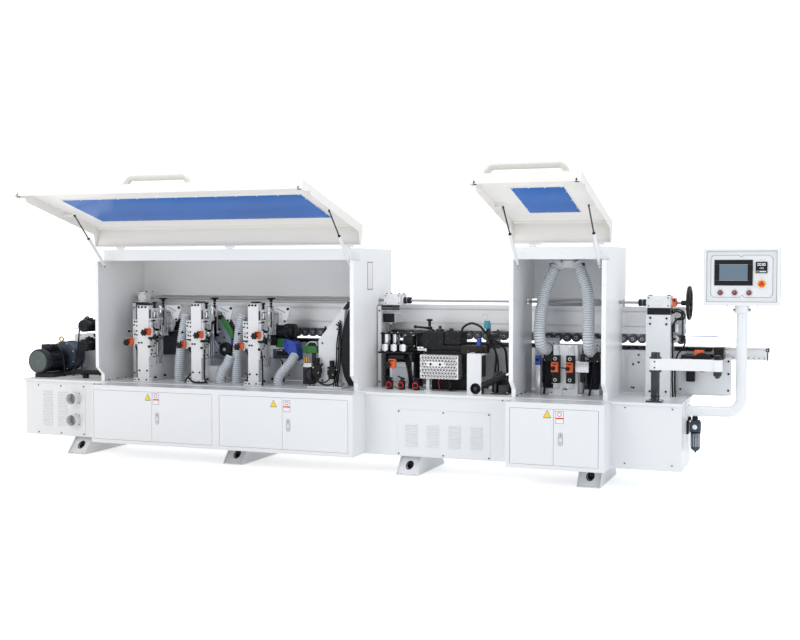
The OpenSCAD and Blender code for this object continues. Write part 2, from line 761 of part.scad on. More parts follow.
// ---------- gluing and pressing ----------
// upright axles: [x, y, z, radius]
glue_axle = [495, 560, 913, 7];
press_axle = [-330, 545, 898, 10];

module glue_pot() color("dimgrey") {
  blocks([
    [-30, 470, 300, 470, 905, 1040],
    [-10, 430, 320, 460, 700, 905],
    [40, 380, 330, 450, table_z, 700],
    [300, 500, 240, 300, 915, 945]]);
  // fittings on top
  rods_z([[100, 380, 1040, 9, 60], [100, 380, 1100, 22, 26], [30, 380, 1040, 10, 66],
    [180, 380, 1040, 10, 40]]);
  // arm and fork that hold the glue roller
  block(470, 520, 320, 530, 925, 1030);
  for (z = [913, 1030]) block(470, 520, 480, 590, z, z + 12);
  rod_z(glue_axle[0], glue_axle[1], glue_axle[2], glue_axle[3], 129);
}

guard_pitch = 23.8;
guard_hole_r = 6;
// perforated box, open at the back; odd rows are offset by half a pitch
module glue_guard() color("silver") difference() {
  block(-7, 293, 200, 300, 693, 870);
  block(-4, 290, 203, 301, 690, 867);
  for (row = [0 : 6]) {
    z = 712 + row * 23;
    // one row has a blank patch, and odd rows are a hole shorter
    for (i = [0 : 11])
      if (!(row == 4 && i > 2 && i < 8) && !(row % 2 == 1 && i == 11))
        rod_y(14 + i * guard_pitch + (row % 2) * guard_pitch / 2, 198, z, guard_hole_r, 8);
    for (i = [0 : 2]) rod_x(288, 225 + i * 28, z, guard_hole_r, 8);
  }
}

module press_bracket() color("dimgrey") {
  blocks([
    // back plate, then the bottom and top plates
    [-386, -100, 470, 500, table_z, 880],
    [-386, -90, 360, 600, 880, 898],
    [-386, -90, 360, 600, 1010, 1022],
    // uprights between the bottom and top plates
    [-386, -374, 380, 600, 898, 1010],
    [-102, -90, 380, 500, 898, 1010],
    [-200, -120, 360, 400, 898, 1010],
    // block on the front of the back plate
    [-320, -230, 330, 470, 800, 860]]);
  // axle of the large roller, and two small rollers to its right
  rod_z(press_axle[0], press_axle[1], press_axle[2], press_axle[3], 112);
  for (x = [-250, -180]) rod_z(x, 555, 898, 27, 112);
}
module press_roller() color("silver")
  tube_z(press_axle[0], press_axle[1], 898.05, 38, press_axle[3] + run, 111.9);
module glue_roller() color("silver")
  tube_z(glue_axle[0], glue_axle[1], 925.05, 24, glue_axle[3] + run, 104.9);

// ---------- extraction ----------
module extraction_duct() color("whitesmoke") {
  rod_z(1080, 400, 1560, 62, 104);
  plate_y(350, 450, [[1004, 1520], [1156, 1520], [1142, 1560], [1018, 1560]]);
}

// straight hose from one point to another
module hose_between(start, end, r) {
  d = end - start;
  length = norm(d);
  translate(start) rotate([0, acos(d.z / length), atan2(d.y, d.x)]) cylinder(r = r, h = length);
}
module extraction_hoses() color("lightgrey") {
  // from below the duct to two upright sockets: [x at the top, x at the socket]
  for (x = [[1005, 912], [1155, 1262]]) {
    hose_between([x[0], 340, 1502], [x[1], 200, 1080], 40);
    rod_z(x[1], 200, 940, 44, 138);
  }
  for (hose = table_hoses) hose_between(hose[0], hose[1], hose[2]);
}

// ---------- swing arm ----------
post_x = 1753;
post_r = 30;
spindle_x = 2165;
spindle_r = 12;
swing_y = 70;
swing_z = 820;
swing_h = 78;
// gap left under the collars above the arm
swing_top = swing_z + swing_h + 0.1;

module arm_post() color("dimgrey") {
  block(1697, 1803, 17, 123, table_z, table_z + 12);
  rod_z(post_x, swing_y, table_z + 12, post_r, 328);
  rod_z(post_x, swing_y, 806, 41, 13.9);
  rod_z(post_x, swing_y, swing_top, 41, 12);
}
module swing_arm() color("white") difference() {
  union() {
    rod_z(post_x, swing_y, swing_z, 44, swing_h);
    block(post_x, spindle_x, swing_y - 18, swing_y + 18, swing_z, swing_z + swing_h);
    rod_z(spindle_x, swing_y, swing_z, 34, swing_h);
  }
  rod_z(post_x, swing_y, swing_z - 1, post_r + run, swing_h + 2);
  rod_z(spindle_x, swing_y, swing_z - 1, spindle_r + run, swing_h + 2);
}
module arm_spindle() color("dimgrey") {
  rod_z(spindle_x, swing_y, 790, spindle_r, 130);
  rod_z(spindle_x, swing_y, 804, 26, 15.9);
  rod_z(spindle_x, swing_y, swing_top, 26, 10);
}

// ---------- control panel ----------
box_x = [2055, 2555];
box_y = [185, 303];
box_z = [1262, 1655];
button_x = [2167, 2261, 2355];
button_z = 1350;
button_shank = 8;
stop_x = 2436;
stop_z = 1410;
stop_shank = 10;

module control_arm() color("white") {
  bend_z = pipe_z + pipe_bend;
  difference() {
    union() {
      rod_x(base_x1, arm_y, pipe_z, 62, 10);
      rod_x(base_x1, arm_y, pipe_z, pipe_r, arm_x - pipe_bend - base_x1);
      translate([arm_x - pipe_bend, arm_y, bend_z]) rotate([90, 0, 0])
        rotate_extrude(angle = -90) translate([pipe_bend, 0]) circle(r = pipe_r);
      rod_z(arm_x, arm_y, bend_z, pipe_r, 608);
    }
    rod_x(base_x1 - 1, arm_y, pipe_z, pipe_bore, 240);
    rod_z(arm_x, arm_y, 700, pipe_bore, 540);
  }
}

module control_box() color("white") {
  difference() {
    block(box_x[0], box_x[1], box_y[0], box_y[1], box_z[0], box_z[1]);
    // inside, then the recess in the front face
    block(box_x[0] + 2, box_x[1] - 2, box_y[0] + 11, box_y[1] - 2, box_z[0] + 2, box_z[1] - 2);
    block(box_x[0] + 32, box_x[1] - 32, box_y[0] - 1, box_y[0] + 8, box_z[0] + 36, box_z[1] - 30);
    for (x = button_x) rod_y(x, 190, button_z, button_shank + run, 10);
    rod_y(stop_x, 190, stop_z, stop_shank + run, 10);
    rod_z(arm_x, arm_y, box_z[0] - 1, pipe_r + run, 4);
  }
  // collar round the pipe, the plug above the pipe, and two lugs
  tube_z(arm_x, arm_y, 1212, 48, pipe_r + run, 50);
  rod_z(arm_x, arm_y, 1240, pipe_r + run, 22);
  for (x = [arm_x - 60, arm_x + 47]) block(x, x + 13, arm_y - 12, arm_y + 12, 1218, 1240);
  // display frame, square plate beside it, and the button rings
  difference() {
    block(2125, 2378, 186, 193, 1397, 1574);
    block(2160, 2344, 185, 189, 1432, 1541);
  }
  block(2397, 2472, 187, 193, 1482, 1558);
  for (x = button_x) tube_y(x, 187, button_z, 19, button_r + 0.6, 6);
  tube_y(stop_x, 188, stop_z, 29, stop_shank + 0.6, 5);
}
module emergency_stop() color("red") {
  rod_y(stop_x, 164, stop_z, estop_r, 16);
  rod_y(stop_x, 180, stop_z, stop_shank, 34);
}
module push_button(x) {
  rod_y(x, 181, button_z, button_r, 7);
  rod_y(x, 188, button_z, button_shank, 24);
}
module push_button_1() color("darkred") push_button(button_x[0]);
module push_button_2() color("darkred") push_button(button_x[1]);
module push_button_3() color("darkred") push_button(button_x[2]);

// ---------- air, guide, counters, cables ----------
module air_units() color("dimgrey") {
  // set on the right end of the base
  block(base_x1, 1955, 260, 340, 380, 450);
  block(1955, 2045, 270, 330, 395, 450);
  rods_z([[1980, 300, 300, 22, 95], [2022, 300, 300, 22, 95], [1980, 300, 450, 16, 24]]);
  // three regulators with gauges on the table
  for (x = [-261, -164, -47]) {
    block(x - 18, x + 18, 215, 260, table_z, 668);
    rod_y(x, 200, 636, 22, 15);
  }
}

module infeed_guide() color("dimgrey") {
  blocks([
    [1890, 2170, 440, 600, 872, 908],
    [1960, 2060, 430, 560, 908, 955],
    [2110, 2170, 430, 560, 908, 950],
    [1990, 2050, 436, 600, 800, 872],
    [1900, 1960, 560, 606, 700, 872]]);
  // round disc and its centre pin on the front
  tube_y(2020, 420, 852, 68, 12, 16);
  rod_y(2020, 416, 852, 12, 24);
}

// [x, y, z, offset of the knob to the left, knob radius]
// the first six are pairs, right then left, one pair for each trimming unit
counters = [
  [-2310, 100, 1004, 14, 26], [-2507, 150, 917, 14, 26],
  [-1826, 100, 990, 14, 26], [-2012, 150, 905, 14, 26],
  [-1313, 100, 995, 14, 26], [-1492, 150, 903, 14, 26],
  [-275, 250, 790, 14, 26], [1027, 200, 806, 0, 16], [1131, 200, 806, 0, 16]];
counter_half = 22;

module position_counters() color("orangered") {
  for (c = counters) {
    block(c.x - counter_half, c.x + counter_half, c.y - 26, c.y + 4, c.z - 24, c.z + 26);
    rod_y(c.x - c[3], c.y - 40, c.z, 9, 14);
    rod_y(c.x - c[3], c.y - 66, c.z, c[4], 26);
  }
  // back plates, and the arms that join them to the unit columns
  for (i = [0 : 5]) {
    c = counters[i];
    block(c.x - counter_half, c.x + counter_half, c.y + 4, c.y + 14, c.z - 28, c.z + 30);
  }
  for (i = [0 : 2]) {
    right = counters[2 * i];
    left = counters[2 * i + 1];
    block(left.x + counter_half, units[i][0], left.y + 4, left.y + 14, left.z - 28, left.z + 30);
    block(units[i][1] - 40, right.x + counter_half, right.y + 4, units[i][2],
      right.z - 40, right.z - 28);
  }
  // brackets of the other three
  block(-290, -262, 254, 330, 782, 802);
  for (i = [7, 8]) block(counters[i].x - 12, counters[i].x + 12, 204, 226, 796, 816);
  // ring on the lift shaft, and a block on the infeed guide
  tube_x(1812, shaft_y, shaft_z, 28, shaft_r + run, 34);
  block(2000, 2046, 404, 430, 922, 954);
}

module power_cables() color("black") rods_z([
  [1850, 560, 640, 8, 520], [-900, 420, 601, 8, 500], [620, 420, 601, 10, 400],
  [-1780, 120, 601, 6, 200], [-1285, 120, 601, 6, 200], [860, 300, 601, 8, 240],
  [1345, 300, 601, 8, 240], [-3200, 320, 601, 8, 380]]);

// ---------- bolts ----------
// heads as high as their radius, standing on a front face or on a top face
module bolt_y(x, y, z, r) rod_y(x, y - r, z, r, r);
module bolt_z(x, y, z, r) rod_z(x, y, z, r, r);

module machine_bolts() color("dimgrey") {
  // vent covers
  for (x = [-92, 245, 582], z = [168, 452]) bolt_y(x, -cover_t, z, 5);
  for (x = [-3300, -2868], z = [168, 540]) bolt_y(x, -cover_t, z, 5);
  // cross stands
  for (x = stand_x, y = [-59, base_d + 59], side = [-1, 1]) bolt_z(x + side * 50, y, foot_t, 8);
  // hood feet
  for (h = hood_x, x = [h[0] + 20, h[1] - 20], y = [80, 200, 320]) bolt_z(x, y, table_z + 4, 7);
  // unit columns: three bolts at the top, pairs lower down
  for (unit = units) {
    width = unit[1] - unit[0];
    for (k = [0.2, 0.5, 0.8]) bolt_y(unit[0] + k * width, unit[2], unit[3] - 12, 7);
    for (k = [0.2, 0.85], z = [640, 700]) bolt_y(unit[0] + k * width, unit[2], z, 6);
  }
  // right lift column, then the tops of the gearboxes
  for (x = [1660, 1788], z = [1118, 1160]) bolt_y(x, 380, z, 11);
  for (x = [1668, 1780], y = [410, 490]) bolt_z(x, y, gear_z1, 10);
  for (x = [-2546, -345, -255], y = [410, 490]) bolt_z(x, y, gear_z1, 7);
  // front face of the conveyor beam: [x, z]
  for (p = [[1475, 860], [1530, 828], [1475, 800], [1600, 828], [2150, 870], [2150, 640], [1460, 640]])
    bolt_y(p[0], beam_y0, p[1], 6);
  // front plates of the pedestal in hood B
  for (x = [1023, 1129], z = [716, 866]) bolt_y(x, 226, z, 9);
}

base_frame();
table_top();
cross_stands();
vent_covers();
dust_outlets();
hood_a();
hood_b();
conveyor_beam();
conveyor_rail();
lift_columns();
lift_gearboxes();
electric_motors();
unit_columns();
extraction_duct();
extraction_hoses();
glue_pot();
glue_guard();
press_bracket();
arm_post();
control_arm();
air_units();
infeed_guide();
position_counters();
power_cables();
machine_bolts();
cabinet_door_1();
cabinet_door_2();
cabinet_door_3();
cabinet_door_4();
cabinet_door_5();
cabinet_door_6();
door_latch_1();
door_latch_2();
door_latch_3();
lid_a();
lid_b();
lid_a_window();
lid_b_window();
strut_cylinders_a();
strut_rods_a();
strut_cylinders_b();
strut_rods_b();
chain_pads();
pressure_beam();
pressure_rollers();
lift_shaft();
handwheel();
swing_arm();
arm_spindle();
control_box();
emergency_stop();
push_button_1();
push_button_2();
push_button_3();
scraper_head();
fine_trim_head();
rough_trim_head();
end_trim_saw();
press_roller();
glue_roller();
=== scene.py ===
# An edge-banding machine, in metres, +Z up, standing on the floor at z = 0.
# X runs along the feed: the outfeed end is near x = -3.5, the infeed end near x = 2.5.
# The operator's side (front) faces -Y. The table top is at z = 0.6.
import bpy, bmesh, math, random
from mathutils import Vector, Matrix


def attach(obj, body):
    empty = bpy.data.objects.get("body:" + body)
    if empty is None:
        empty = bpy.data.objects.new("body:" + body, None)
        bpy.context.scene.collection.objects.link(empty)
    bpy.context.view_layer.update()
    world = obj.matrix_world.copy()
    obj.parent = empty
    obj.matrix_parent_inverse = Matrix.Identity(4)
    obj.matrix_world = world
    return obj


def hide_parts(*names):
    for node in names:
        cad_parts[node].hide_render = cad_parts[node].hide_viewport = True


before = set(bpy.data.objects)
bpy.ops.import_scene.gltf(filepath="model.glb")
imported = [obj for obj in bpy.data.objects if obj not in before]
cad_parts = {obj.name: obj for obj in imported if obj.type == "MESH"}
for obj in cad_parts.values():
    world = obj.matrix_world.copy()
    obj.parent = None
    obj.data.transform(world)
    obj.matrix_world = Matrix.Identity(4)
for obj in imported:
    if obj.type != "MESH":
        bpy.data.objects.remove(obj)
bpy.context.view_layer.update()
random.seed(7)

rad, deg = math.radians, math.degrees
FRONT, BACK = (0, -1, 0), (0, 1, 0)
LEFT, RIGHT = (-1, 0, 0), (1, 0, 0)
UP, DOWN = (0, 0, 1), (0, 0, -1)
TABLE_Z = 0.6
CABLE_Z = TABLE_Z + 0.001       # cables end just above the table
SHAFT_Y, SHAFT_Z = 0.45, 1.27   # axis of the lift shaft

# ------------------------------------------------------------------ materials
MATERIALS = {}


def add_node(tree, kind, x, y, **settings):
    node = tree.nodes.new(kind)
    node.location = (x, y)
    for key, value in settings.items():
        setattr(node, key, value)
    return node


def noise(tree, vector, x, y, scale, detail):
    node = add_node(tree, "ShaderNodeTexNoise", x, y)
    node.inputs["Scale"].default_value = scale
    node.inputs["Detail"].default_value = detail
    tree.links.new(vector, node.inputs["Vector"])
    return node


def map_range(tree, value, x, y, **limits):
    """Limits are named after the sockets: from_min, from_max, to_min, to_max."""
    node = add_node(tree, "ShaderNodeMapRange", x, y)
    for key, limit in limits.items():
        node.inputs[key.replace("_", " ").title()].default_value = limit
    tree.links.new(value, node.inputs["Value"])
    return node.outputs[0]


ROUGH_SPREAD, ROUGH_SCALE = 0.06, 40.0
# painted light: tints multiplied into the paint along x stand in for warmer and cooler daylight
OUTFEED_LIGHT_TINT = (1.0, 0.99, 0.975, 1)
INFEED_LIGHT_TINT = (0.965, 0.985, 1.0, 1)


def material(name, slot, color, rough, metal=0.0, tone=0.1, tone_scale=20,
             bump=0.1, bump_scale=500, bump_depth=0.0002, stretch=(1, 1, 1),
             coat=0.0, spec=0.5, trans=0.0, ior=1.45, painted_daylight=False, speck=0.0, emit=0.0):
    """Principled surface with noise in its tone, roughness and height, and optionally a painted
    daylight tint along x.
    """
    made = bpy.data.materials.new(name)
    made.use_nodes = True
    tree = made.node_tree
    link = tree.links.new
    tree.nodes.clear()
    output = add_node(tree, "ShaderNodeOutputMaterial", 900, 0)
    surface = add_node(tree, "ShaderNodeBsdfPrincipled", 600, 0)
    link(surface.outputs[0], output.inputs[0])
    coords = add_node(tree, "ShaderNodeTexCoord", -900, 0).outputs["Object"]
    mapping = add_node(tree, "ShaderNodeMapping", -700, 0)
    mapping.inputs["Scale"].default_value = stretch
    link(coords, mapping.inputs["Vector"])
    stretched = mapping.outputs[0]
    tones = noise(tree, stretched, -500, 200, scale=tone_scale, detail=5)
    tones.inputs["Roughness"].default_value = 0.6
    mix = add_node(tree, "ShaderNodeMix", 0, 200, data_type="RGBA")
    mix.inputs[6].default_value = [c * (1 - tone) for c in color] + [1]
    mix.inputs[7].default_value = [c * (1 + tone) for c in color] + [1]
    link(tones.outputs["Fac"], mix.inputs[0])
    shade = mix.outputs[2]
    if painted_daylight:
        # painted light: the colour is tinted warmer at the outfeed end and cooler towards the
        # infeed end, as daylight would fall
        split = add_node(tree, "ShaderNodeSeparateXYZ", -500, 500)
        link(coords, split.inputs[0])
        along = map_range(tree, split.outputs[0], -300, 500, from_min=-3.4, from_max=2.4)
        light_tint = add_node(tree, "ShaderNodeMix", -100, 500, data_type="RGBA")
        light_tint.inputs[6].default_value = OUTFEED_LIGHT_TINT
        light_tint.inputs[7].default_value = INFEED_LIGHT_TINT
        link(along, light_tint.inputs[0])
        light_tinted = add_node(tree, "ShaderNodeMix", 200, 400, data_type="RGBA",
                          blend_type="MULTIPLY")
        light_tinted.inputs[0].default_value = 1.0
        link(shade, light_tinted.inputs[6])
        link(light_tint.outputs[2], light_tinted.inputs[7])
        shade = light_tinted.outputs[2]
    if speck > 0:
        # pale specks where a fine noise peaks
        spots = noise(tree, coords, -500, -500, scale=60, detail=8)
        peaks = map_range(tree, spots.outputs["Fac"], -300, -500,
                          from_min=0.62, from_max=0.75, to_max=speck)
        specked = add_node(tree, "ShaderNodeMix", 300, 200, data_type="RGBA")
        specked.inputs[7].default_value = [c * 0.45 + 0.22 for c in color] + [1]
        link(peaks, specked.inputs[0])
        link(shade, specked.inputs[6])
        shade = specked.outputs[2]
    link(shade, surface.inputs["Base Color"])
    wear = noise(tree, stretched, -500, -100, scale=ROUGH_SCALE, detail=4)
    link(map_range(tree, wear.outputs["Fac"], -200, -100, to_min=rough - ROUGH_SPREAD,
                   to_max=rough + ROUGH_SPREAD), surface.inputs["Roughness"])
    grain = noise(tree, stretched, -500, -300, scale=bump_scale, detail=2)
    relief = add_node(tree, "ShaderNodeBump", 200, -300)
    relief.inputs["Strength"].default_value = bump
    relief.inputs["Distance"].default_value = bump_depth
    link(grain.outputs["Fac"], relief.inputs["Height"])
    link(relief.outputs[0], surface.inputs["Normal"])
    for socket, value in (("Metallic", metal), ("IOR", ior), ("Specular IOR Level", spec),
                          ("Coat Weight", coat), ("Coat Roughness", 0.12),
                          ("Transmission Weight", trans)):
        surface.inputs[socket].default_value = value
    # emission: a lit display glows, and elsewhere it is painted glow on parts that are no lamp
    if emit > 0:
        link(shade, surface.inputs["Emission Color"])
        surface.inputs["Emission Strength"].default_value = emit
    MATERIALS[name] = made


material("white", "white_paint", (0.765, 0.773, 0.78), rough=0.34, tone=0.012, tone_scale=3,
         bump=0.12, bump_scale=700, coat=0.25, painted_daylight=True)
material("hood", "hood_paint", (0.88, 0.884, 0.888), rough=0.36, tone=0.014, tone_scale=2.5,
         bump=0.12, bump_scale=700, coat=0.2, painted_daylight=True)
material("lidpaint", "hood_paint", (0.84, 0.82, 0.785), rough=0.36, tone=0.014,
         tone_scale=2.5, bump=0.12, bump_scale=700, coat=0.2)
material("cast_white", "white_paint", (0.78, 0.787, 0.8), rough=0.42, tone=0.02,
         tone_scale=14, bump=0.25, bump_scale=260, bump_depth=0.0006, coat=0.1)
material("alu", "aluminium_profile", (0.73, 0.735, 0.74), rough=0.36, metal=0.55, tone=0.05,
         tone_scale=9, stretch=(0.05, 1, 1), bump=0.2, bump_scale=900)
material("plate", "aluminium_profile", (0.66, 0.68, 0.7), rough=0.32, metal=0.8, tone=0.08,
         tone_scale=30, stretch=(1, 1, 0.1), bump=0.15, bump_scale=900)
material("steel", "bright_steel", (0.62, 0.63, 0.65), rough=0.22, metal=1.0, tone=0.08,
         tone_scale=40, stretch=(0.2, 1, 1), bump_scale=900, bump_depth=0.0001)
material("chrome", "roller_chrome", (0.8, 0.81, 0.83), rough=0.1, metal=1.0, tone=0.03,
         bump=0.02, bump_scale=400, bump_depth=0.0001)
material("zinc", "zinc_steel", (0.74, 0.75, 0.76), rough=0.3, metal=0.9, tone_scale=60,
         bump_scale=600)
material("dsteel", "dark_steel", (0.05, 0.05, 0.056), rough=0.33, metal=0.7, tone=0.15,
         tone_scale=60, bump_scale=600, speck=0.3)
material("castblk", "black_casting", (0.01, 0.0105, 0.0125), rough=0.5, spec=0.28, metal=0.1,
         tone=0.25, tone_scale=25, bump=0.5, bump_scale=240, bump_depth=0.0007, speck=0.35)
material("blk", "black_plastic", (0.007, 0.0072, 0.0085), rough=0.42, spec=0.3, tone=0.2,
         tone_scale=30, bump=0.25, bump_depth=0.0003)
material("brownblk", "black_casting", (0.026, 0.021, 0.017), rough=0.48, spec=0.3, metal=0.3,
         tone=0.3, bump=0.3, bump_scale=200, bump_depth=0.0006, speck=0.6)
material("rubber", "pad_rubber", (0.01, 0.01, 0.011), rough=0.62, spec=0.3, tone=0.2,
         tone_scale=40, bump=0.3, bump_scale=300, bump_depth=0.0004)
material("tyre", "roller_rubber", (0.095, 0.108, 0.125), rough=0.55, tone=0.12,
         tone_scale=50, bump=0.3, bump_scale=350, bump_depth=0.0004)
material("hub", "zinc_steel", (0.42, 0.44, 0.47), rough=0.38, metal=0.6, tone=0.08,
         tone_scale=50, bump_scale=600)
material("orange", "orange_plastic", (0.86, 0.13, 0.025), rough=0.3, tone=0.05, coat=0.3)
material("red", "red_plastic", (0.62, 0.015, 0.02), rough=0.28, tone=0.06, bump=0.05,
         coat=0.4)
material("dred", "red_plastic", (0.2, 0.008, 0.012), rough=0.22, tone_scale=30, bump=0.05,
         coat=0.6)
material("yellow", "orange_plastic", (0.85, 0.6, 0.04), rough=0.35, tone=0.05)
material("green", "dark_paint", (0.035, 0.2, 0.045), rough=0.42, tone=0.12, tone_scale=30,
         bump=0.25, bump_scale=300, bump_depth=0.0005)
material("blue", "dark_paint", (0.015, 0.06, 0.42), rough=0.35, bump=0.15, bump_scale=300,
         bump_depth=0.0004, coat=0.2)
material("teal", "dark_paint", (0.03, 0.26, 0.36), rough=0.38, tone=0.08, tone_scale=30)
material("motor_blue", "dark_paint", (0.034, 0.055, 0.08), rough=0.42, metal=0.2, tone=0.18,
         tone_scale=25, bump=0.35, bump_scale=260, bump_depth=0.0006, speck=0.25)
material("motor_grey", "dark_paint", (0.016, 0.019, 0.026), rough=0.42, metal=0.3,
         tone=0.18, tone_scale=25, bump=0.35, bump_scale=260, bump_depth=0.0006, speck=0.25)
material("brass", "zinc_steel", (0.62, 0.42, 0.14), rough=0.3, metal=1.0, tone_scale=40)
material("hose", "hose_plastic", (0.8, 0.83, 0.855), rough=0.26, tone=0.06, tone_scale=30,
         bump=0.2, bump_scale=300, bump_depth=0.0005, trans=0.1, ior=1.25, spec=0.6)
material("shaft", "bright_steel", (0.42, 0.41, 0.43), rough=0.48, metal=0.55, tone=0.08,
         tone_scale=40, stretch=(0.2, 1, 1), bump_scale=900, bump_depth=0.0001)
# painted shade: darker colour for the sloping inner edge of the panel frame
material("bezel_shade", "white_paint", (0.36, 0.34, 0.32), rough=0.45, tone=0.03)
material("mesh_rim", "zinc_steel", (0.16, 0.12, 0.11), rough=0.45, metal=0.3, tone=0.15,
         tone_scale=40)
material("post_black", "dark_steel", (0.009, 0.0095, 0.013), rough=0.24, tone=0.15,
         tone_scale=30, bump=0.15, coat=0.3)
material("hosewire", "hose_plastic", (0.34, 0.4, 0.47), rough=0.35, metal=0.3, tone_scale=40)
# painted glow: the blue window emits a little light though it is no lamp
material("window", "blue_window", (0.008, 0.115, 0.42), rough=0.18, tone=0.25,
         tone_scale=1.1, bump=0.02, bump_scale=80, trans=0.1, ior=1.2, coat=0.05, spec=0.3,
         emit=0.1)
# painted highlight: glowing light blue for the bright window edges
material("window_edge_glint", "blue_window", (0.35, 0.75, 0.95), rough=0.2, tone=0.05, tone_scale=3,
         bump=0.02, bump_scale=80, emit=0.25)
material("seal", "pad_rubber", (0.03, 0.03, 0.032), rough=0.6, tone=0.2, tone_scale=40,
         bump=0.2, bump_scale=400, bump_depth=0.0003)
# painted shade: dark colour for slots, vents, openings and gaps where only shade falls
material("shadow", "dark_paint", (0.05, 0.055, 0.065), rough=0.8, tone=0.2, tone_scale=10,
         bump_scale=300, bump_depth=0.0003)
material("plate_dark", "aluminium_profile", (0.2, 0.23, 0.275), rough=0.38, metal=0.45,
         bump=0.15, bump_scale=700)
material("grille", "black_plastic", (0.115, 0.135, 0.132), rough=0.5, metal=0.2, tone=0.12,
         tone_scale=40, bump=0.3, bump_depth=0.0004)
material("handlepaint", "white_paint", (0.6, 0.585, 0.545), rough=0.38, tone=0.02,
         tone_scale=8, bump=0.12, bump_scale=600)
material("screen", "black_plastic", (0.13, 0.185, 0.235), rough=0.45, tone=0.02,
         tone_scale=1, bump=0.01, bump_scale=100, bump_depth=0.0001, spec=0.3)
material("screenline", "black_plastic", (0.62, 0.68, 0.75), rough=0.2, tone=0.02,
         tone_scale=4, bump=0.01, bump_scale=100, bump_depth=0.0001, emit=0.2)
material("digit", "black_plastic", (0.75, 0.8, 0.85), rough=0.3, tone=0.02, tone_scale=4,
         bump=0.01, bump_scale=100, bump_depth=0.0001, emit=0.7)
material("inline", "black_plastic", (0.16, 0.14, 0.2), rough=0.5, tone=0.08, bump=0.05,
         bump_scale=400)
material("greylight", "white_paint", (0.52, 0.54, 0.57), rough=0.45, tone=0.05, bump=0.15,
         bump_scale=400, bump_depth=0.0003)
material("decal_grey", "white_paint", (0.62, 0.63, 0.64), rough=0.45, tone=0.04,
         tone_scale=30, bump=0.05, bump_scale=400)
material("paper", "white_paint", (0.8, 0.8, 0.79), rough=0.5, tone=0.03, tone_scale=30,
         bump=0.05, bump_scale=400)

# ------------------------------------------------------------------ geometry helpers
PIECES = {}


class Piece:
    """A mesh being built: one material, riding on one body, moved by `place` if given."""

    def __init__(self, name, material, body, place):
        self.name, self.material, self.body, self.place = name, material, body, place
        self.verts, self.faces = [], []

    def add(self, verts, faces):
        start = len(self.verts)
        if self.place is not None:
            verts = [self.place @ Vector(vert) for vert in verts]
        self.verts += [tuple(vert) for vert in verts]
        self.faces += [tuple(i + start for i in face) for face in faces]

    def add_bmesh(self, bm, matrix=Matrix()):
        bm.verts.index_update()
        self.add([matrix @ v.co for v in bm.verts], [[v.index for v in f.verts] for f in bm.faces])
        bm.free()


def piece(name, material, body="frame", place=None):
    """Fetch the piece called name_material, starting it on first use."""
    key = name + "_" + material
    if key not in PIECES:
        PIECES[key] = Piece(key, material, body, place)
    assert PIECES[key].body == body, key
    return PIECES[key]


def turn(count, offset=0):
    """Equal angles round a circle."""
    return [2 * math.pi * (k + offset) / count for k in range(count)]


def axis_matrix(origin, direction):
    """A frame at origin whose +Z runs along direction."""
    z = Vector(direction).normalized()
    x = Vector((1, 0, 0)) if abs(z.x) < 0.9 else Vector((0, 1, 0))
    y = z.cross(x).normalized()
    x = y.cross(z).normalized()
    return Matrix(((x.x, y.x, z.x, origin[0]), (x.y, y.y, z.y, origin[1]),
                   (x.z, y.z, z.z, origin[2]), (0, 0, 0, 1)))


def ring_points(matrix, radius, along, count):
    return [matrix @ Vector((radius * math.cos(a), radius * math.sin(a), along))
            for a in turn(count)]


def bridge(rows, seg):
    """Quads between successive rows of seg vertices; rows hold start indices."""
    return [(a + i, a + (i + 1) % seg, b + (i + 1) % seg, b + i)
            for a, b in zip(rows, rows[1:]) for i in range(seg)]


def box(target, center, size, bevel=0.0015, turns=(0, 0, 0), seg=2):
    """A box with rounded edges; turns are degrees about x, y, z."""
    bm = bmesh.new()
    bmesh.ops.create_cube(bm, size=1.0)
    for vert in bm.verts:
        for axis in range(3):
            vert.co[axis] *= size[axis]
    bmesh.ops.bevel(bm, geom=bm.edges[:], offset=min(bevel, 0.24 * min(size)), segments=seg,
                    profile=0.6, affect="EDGES")
    turned = (Matrix.Rotation(rad(turns[2]), 4, "Z") @ Matrix.Rotation(rad(turns[1]), 4, "Y")
              @ Matrix.Rotation(rad(turns[0]), 4, "X"))
    target.add_bmesh(bm, Matrix.Translation(Vector(center)) @ turned)


def block(target, x0, x1, y0, y1, z0, z1, bevel=0.0015, seg=2):
    box(target, ((x0 + x1) / 2, (y0 + y1) / 2, (z0 + z1) / 2),
        (abs(x1 - x0), abs(y1 - y0), abs(z1 - z0)), bevel, seg=seg)


def blocks(target, *rows):
    """Rows are x0, x1, y0, y1, z0, z1, edge radius and, if not 2, bevel segments."""
    for row in rows:
        block(target, *row)


def box_ring(target, center, radius, count, size, bevel, upright=False):
    """Boxes round a circle about the y axis, or about z if upright."""
    x, y, z = center
    for a in turn(count):
        across, along = radius * math.cos(a), radius * math.sin(a)
        if upright:
            box(target, (x + across, y + along, z), size, bevel, (0, 0, deg(a)))
        else:
            box(target, (x + across, y, z + along), size, bevel, (0, -deg(a), 0))


def lathe(target, origin, direction, profile, seg=28):
    """Profile is (distance along, radius) pairs turned about the line from origin."""
    matrix = axis_matrix(origin, direction)
    verts, faces, rows = [], [], []
    for along, radius in profile:
        start = len(verts)
        if radius < 1e-7:
            verts.append(matrix @ Vector((0, 0, along)))
        else:
            verts += ring_points(matrix, radius, along, seg)
        rows.append(range(start, len(verts)))
    for a, b in zip(rows, rows[1:]):
        if len(a) == 1 and len(b) == 1:
            continue
        for i in range(seg):
            j = (i + 1) % seg
            if len(a) == 1:
                faces.append((a[0], b[j], b[i]))
            elif len(b) == 1:
                faces.append((a[i], a[j], b[0]))
            else:
                faces.append((a[i], a[j], b[j], b[i]))
    if profile[0][0] > profile[-1][0]:
        faces = [tuple(reversed(face)) for face in faces]
    target.add(verts, faces)


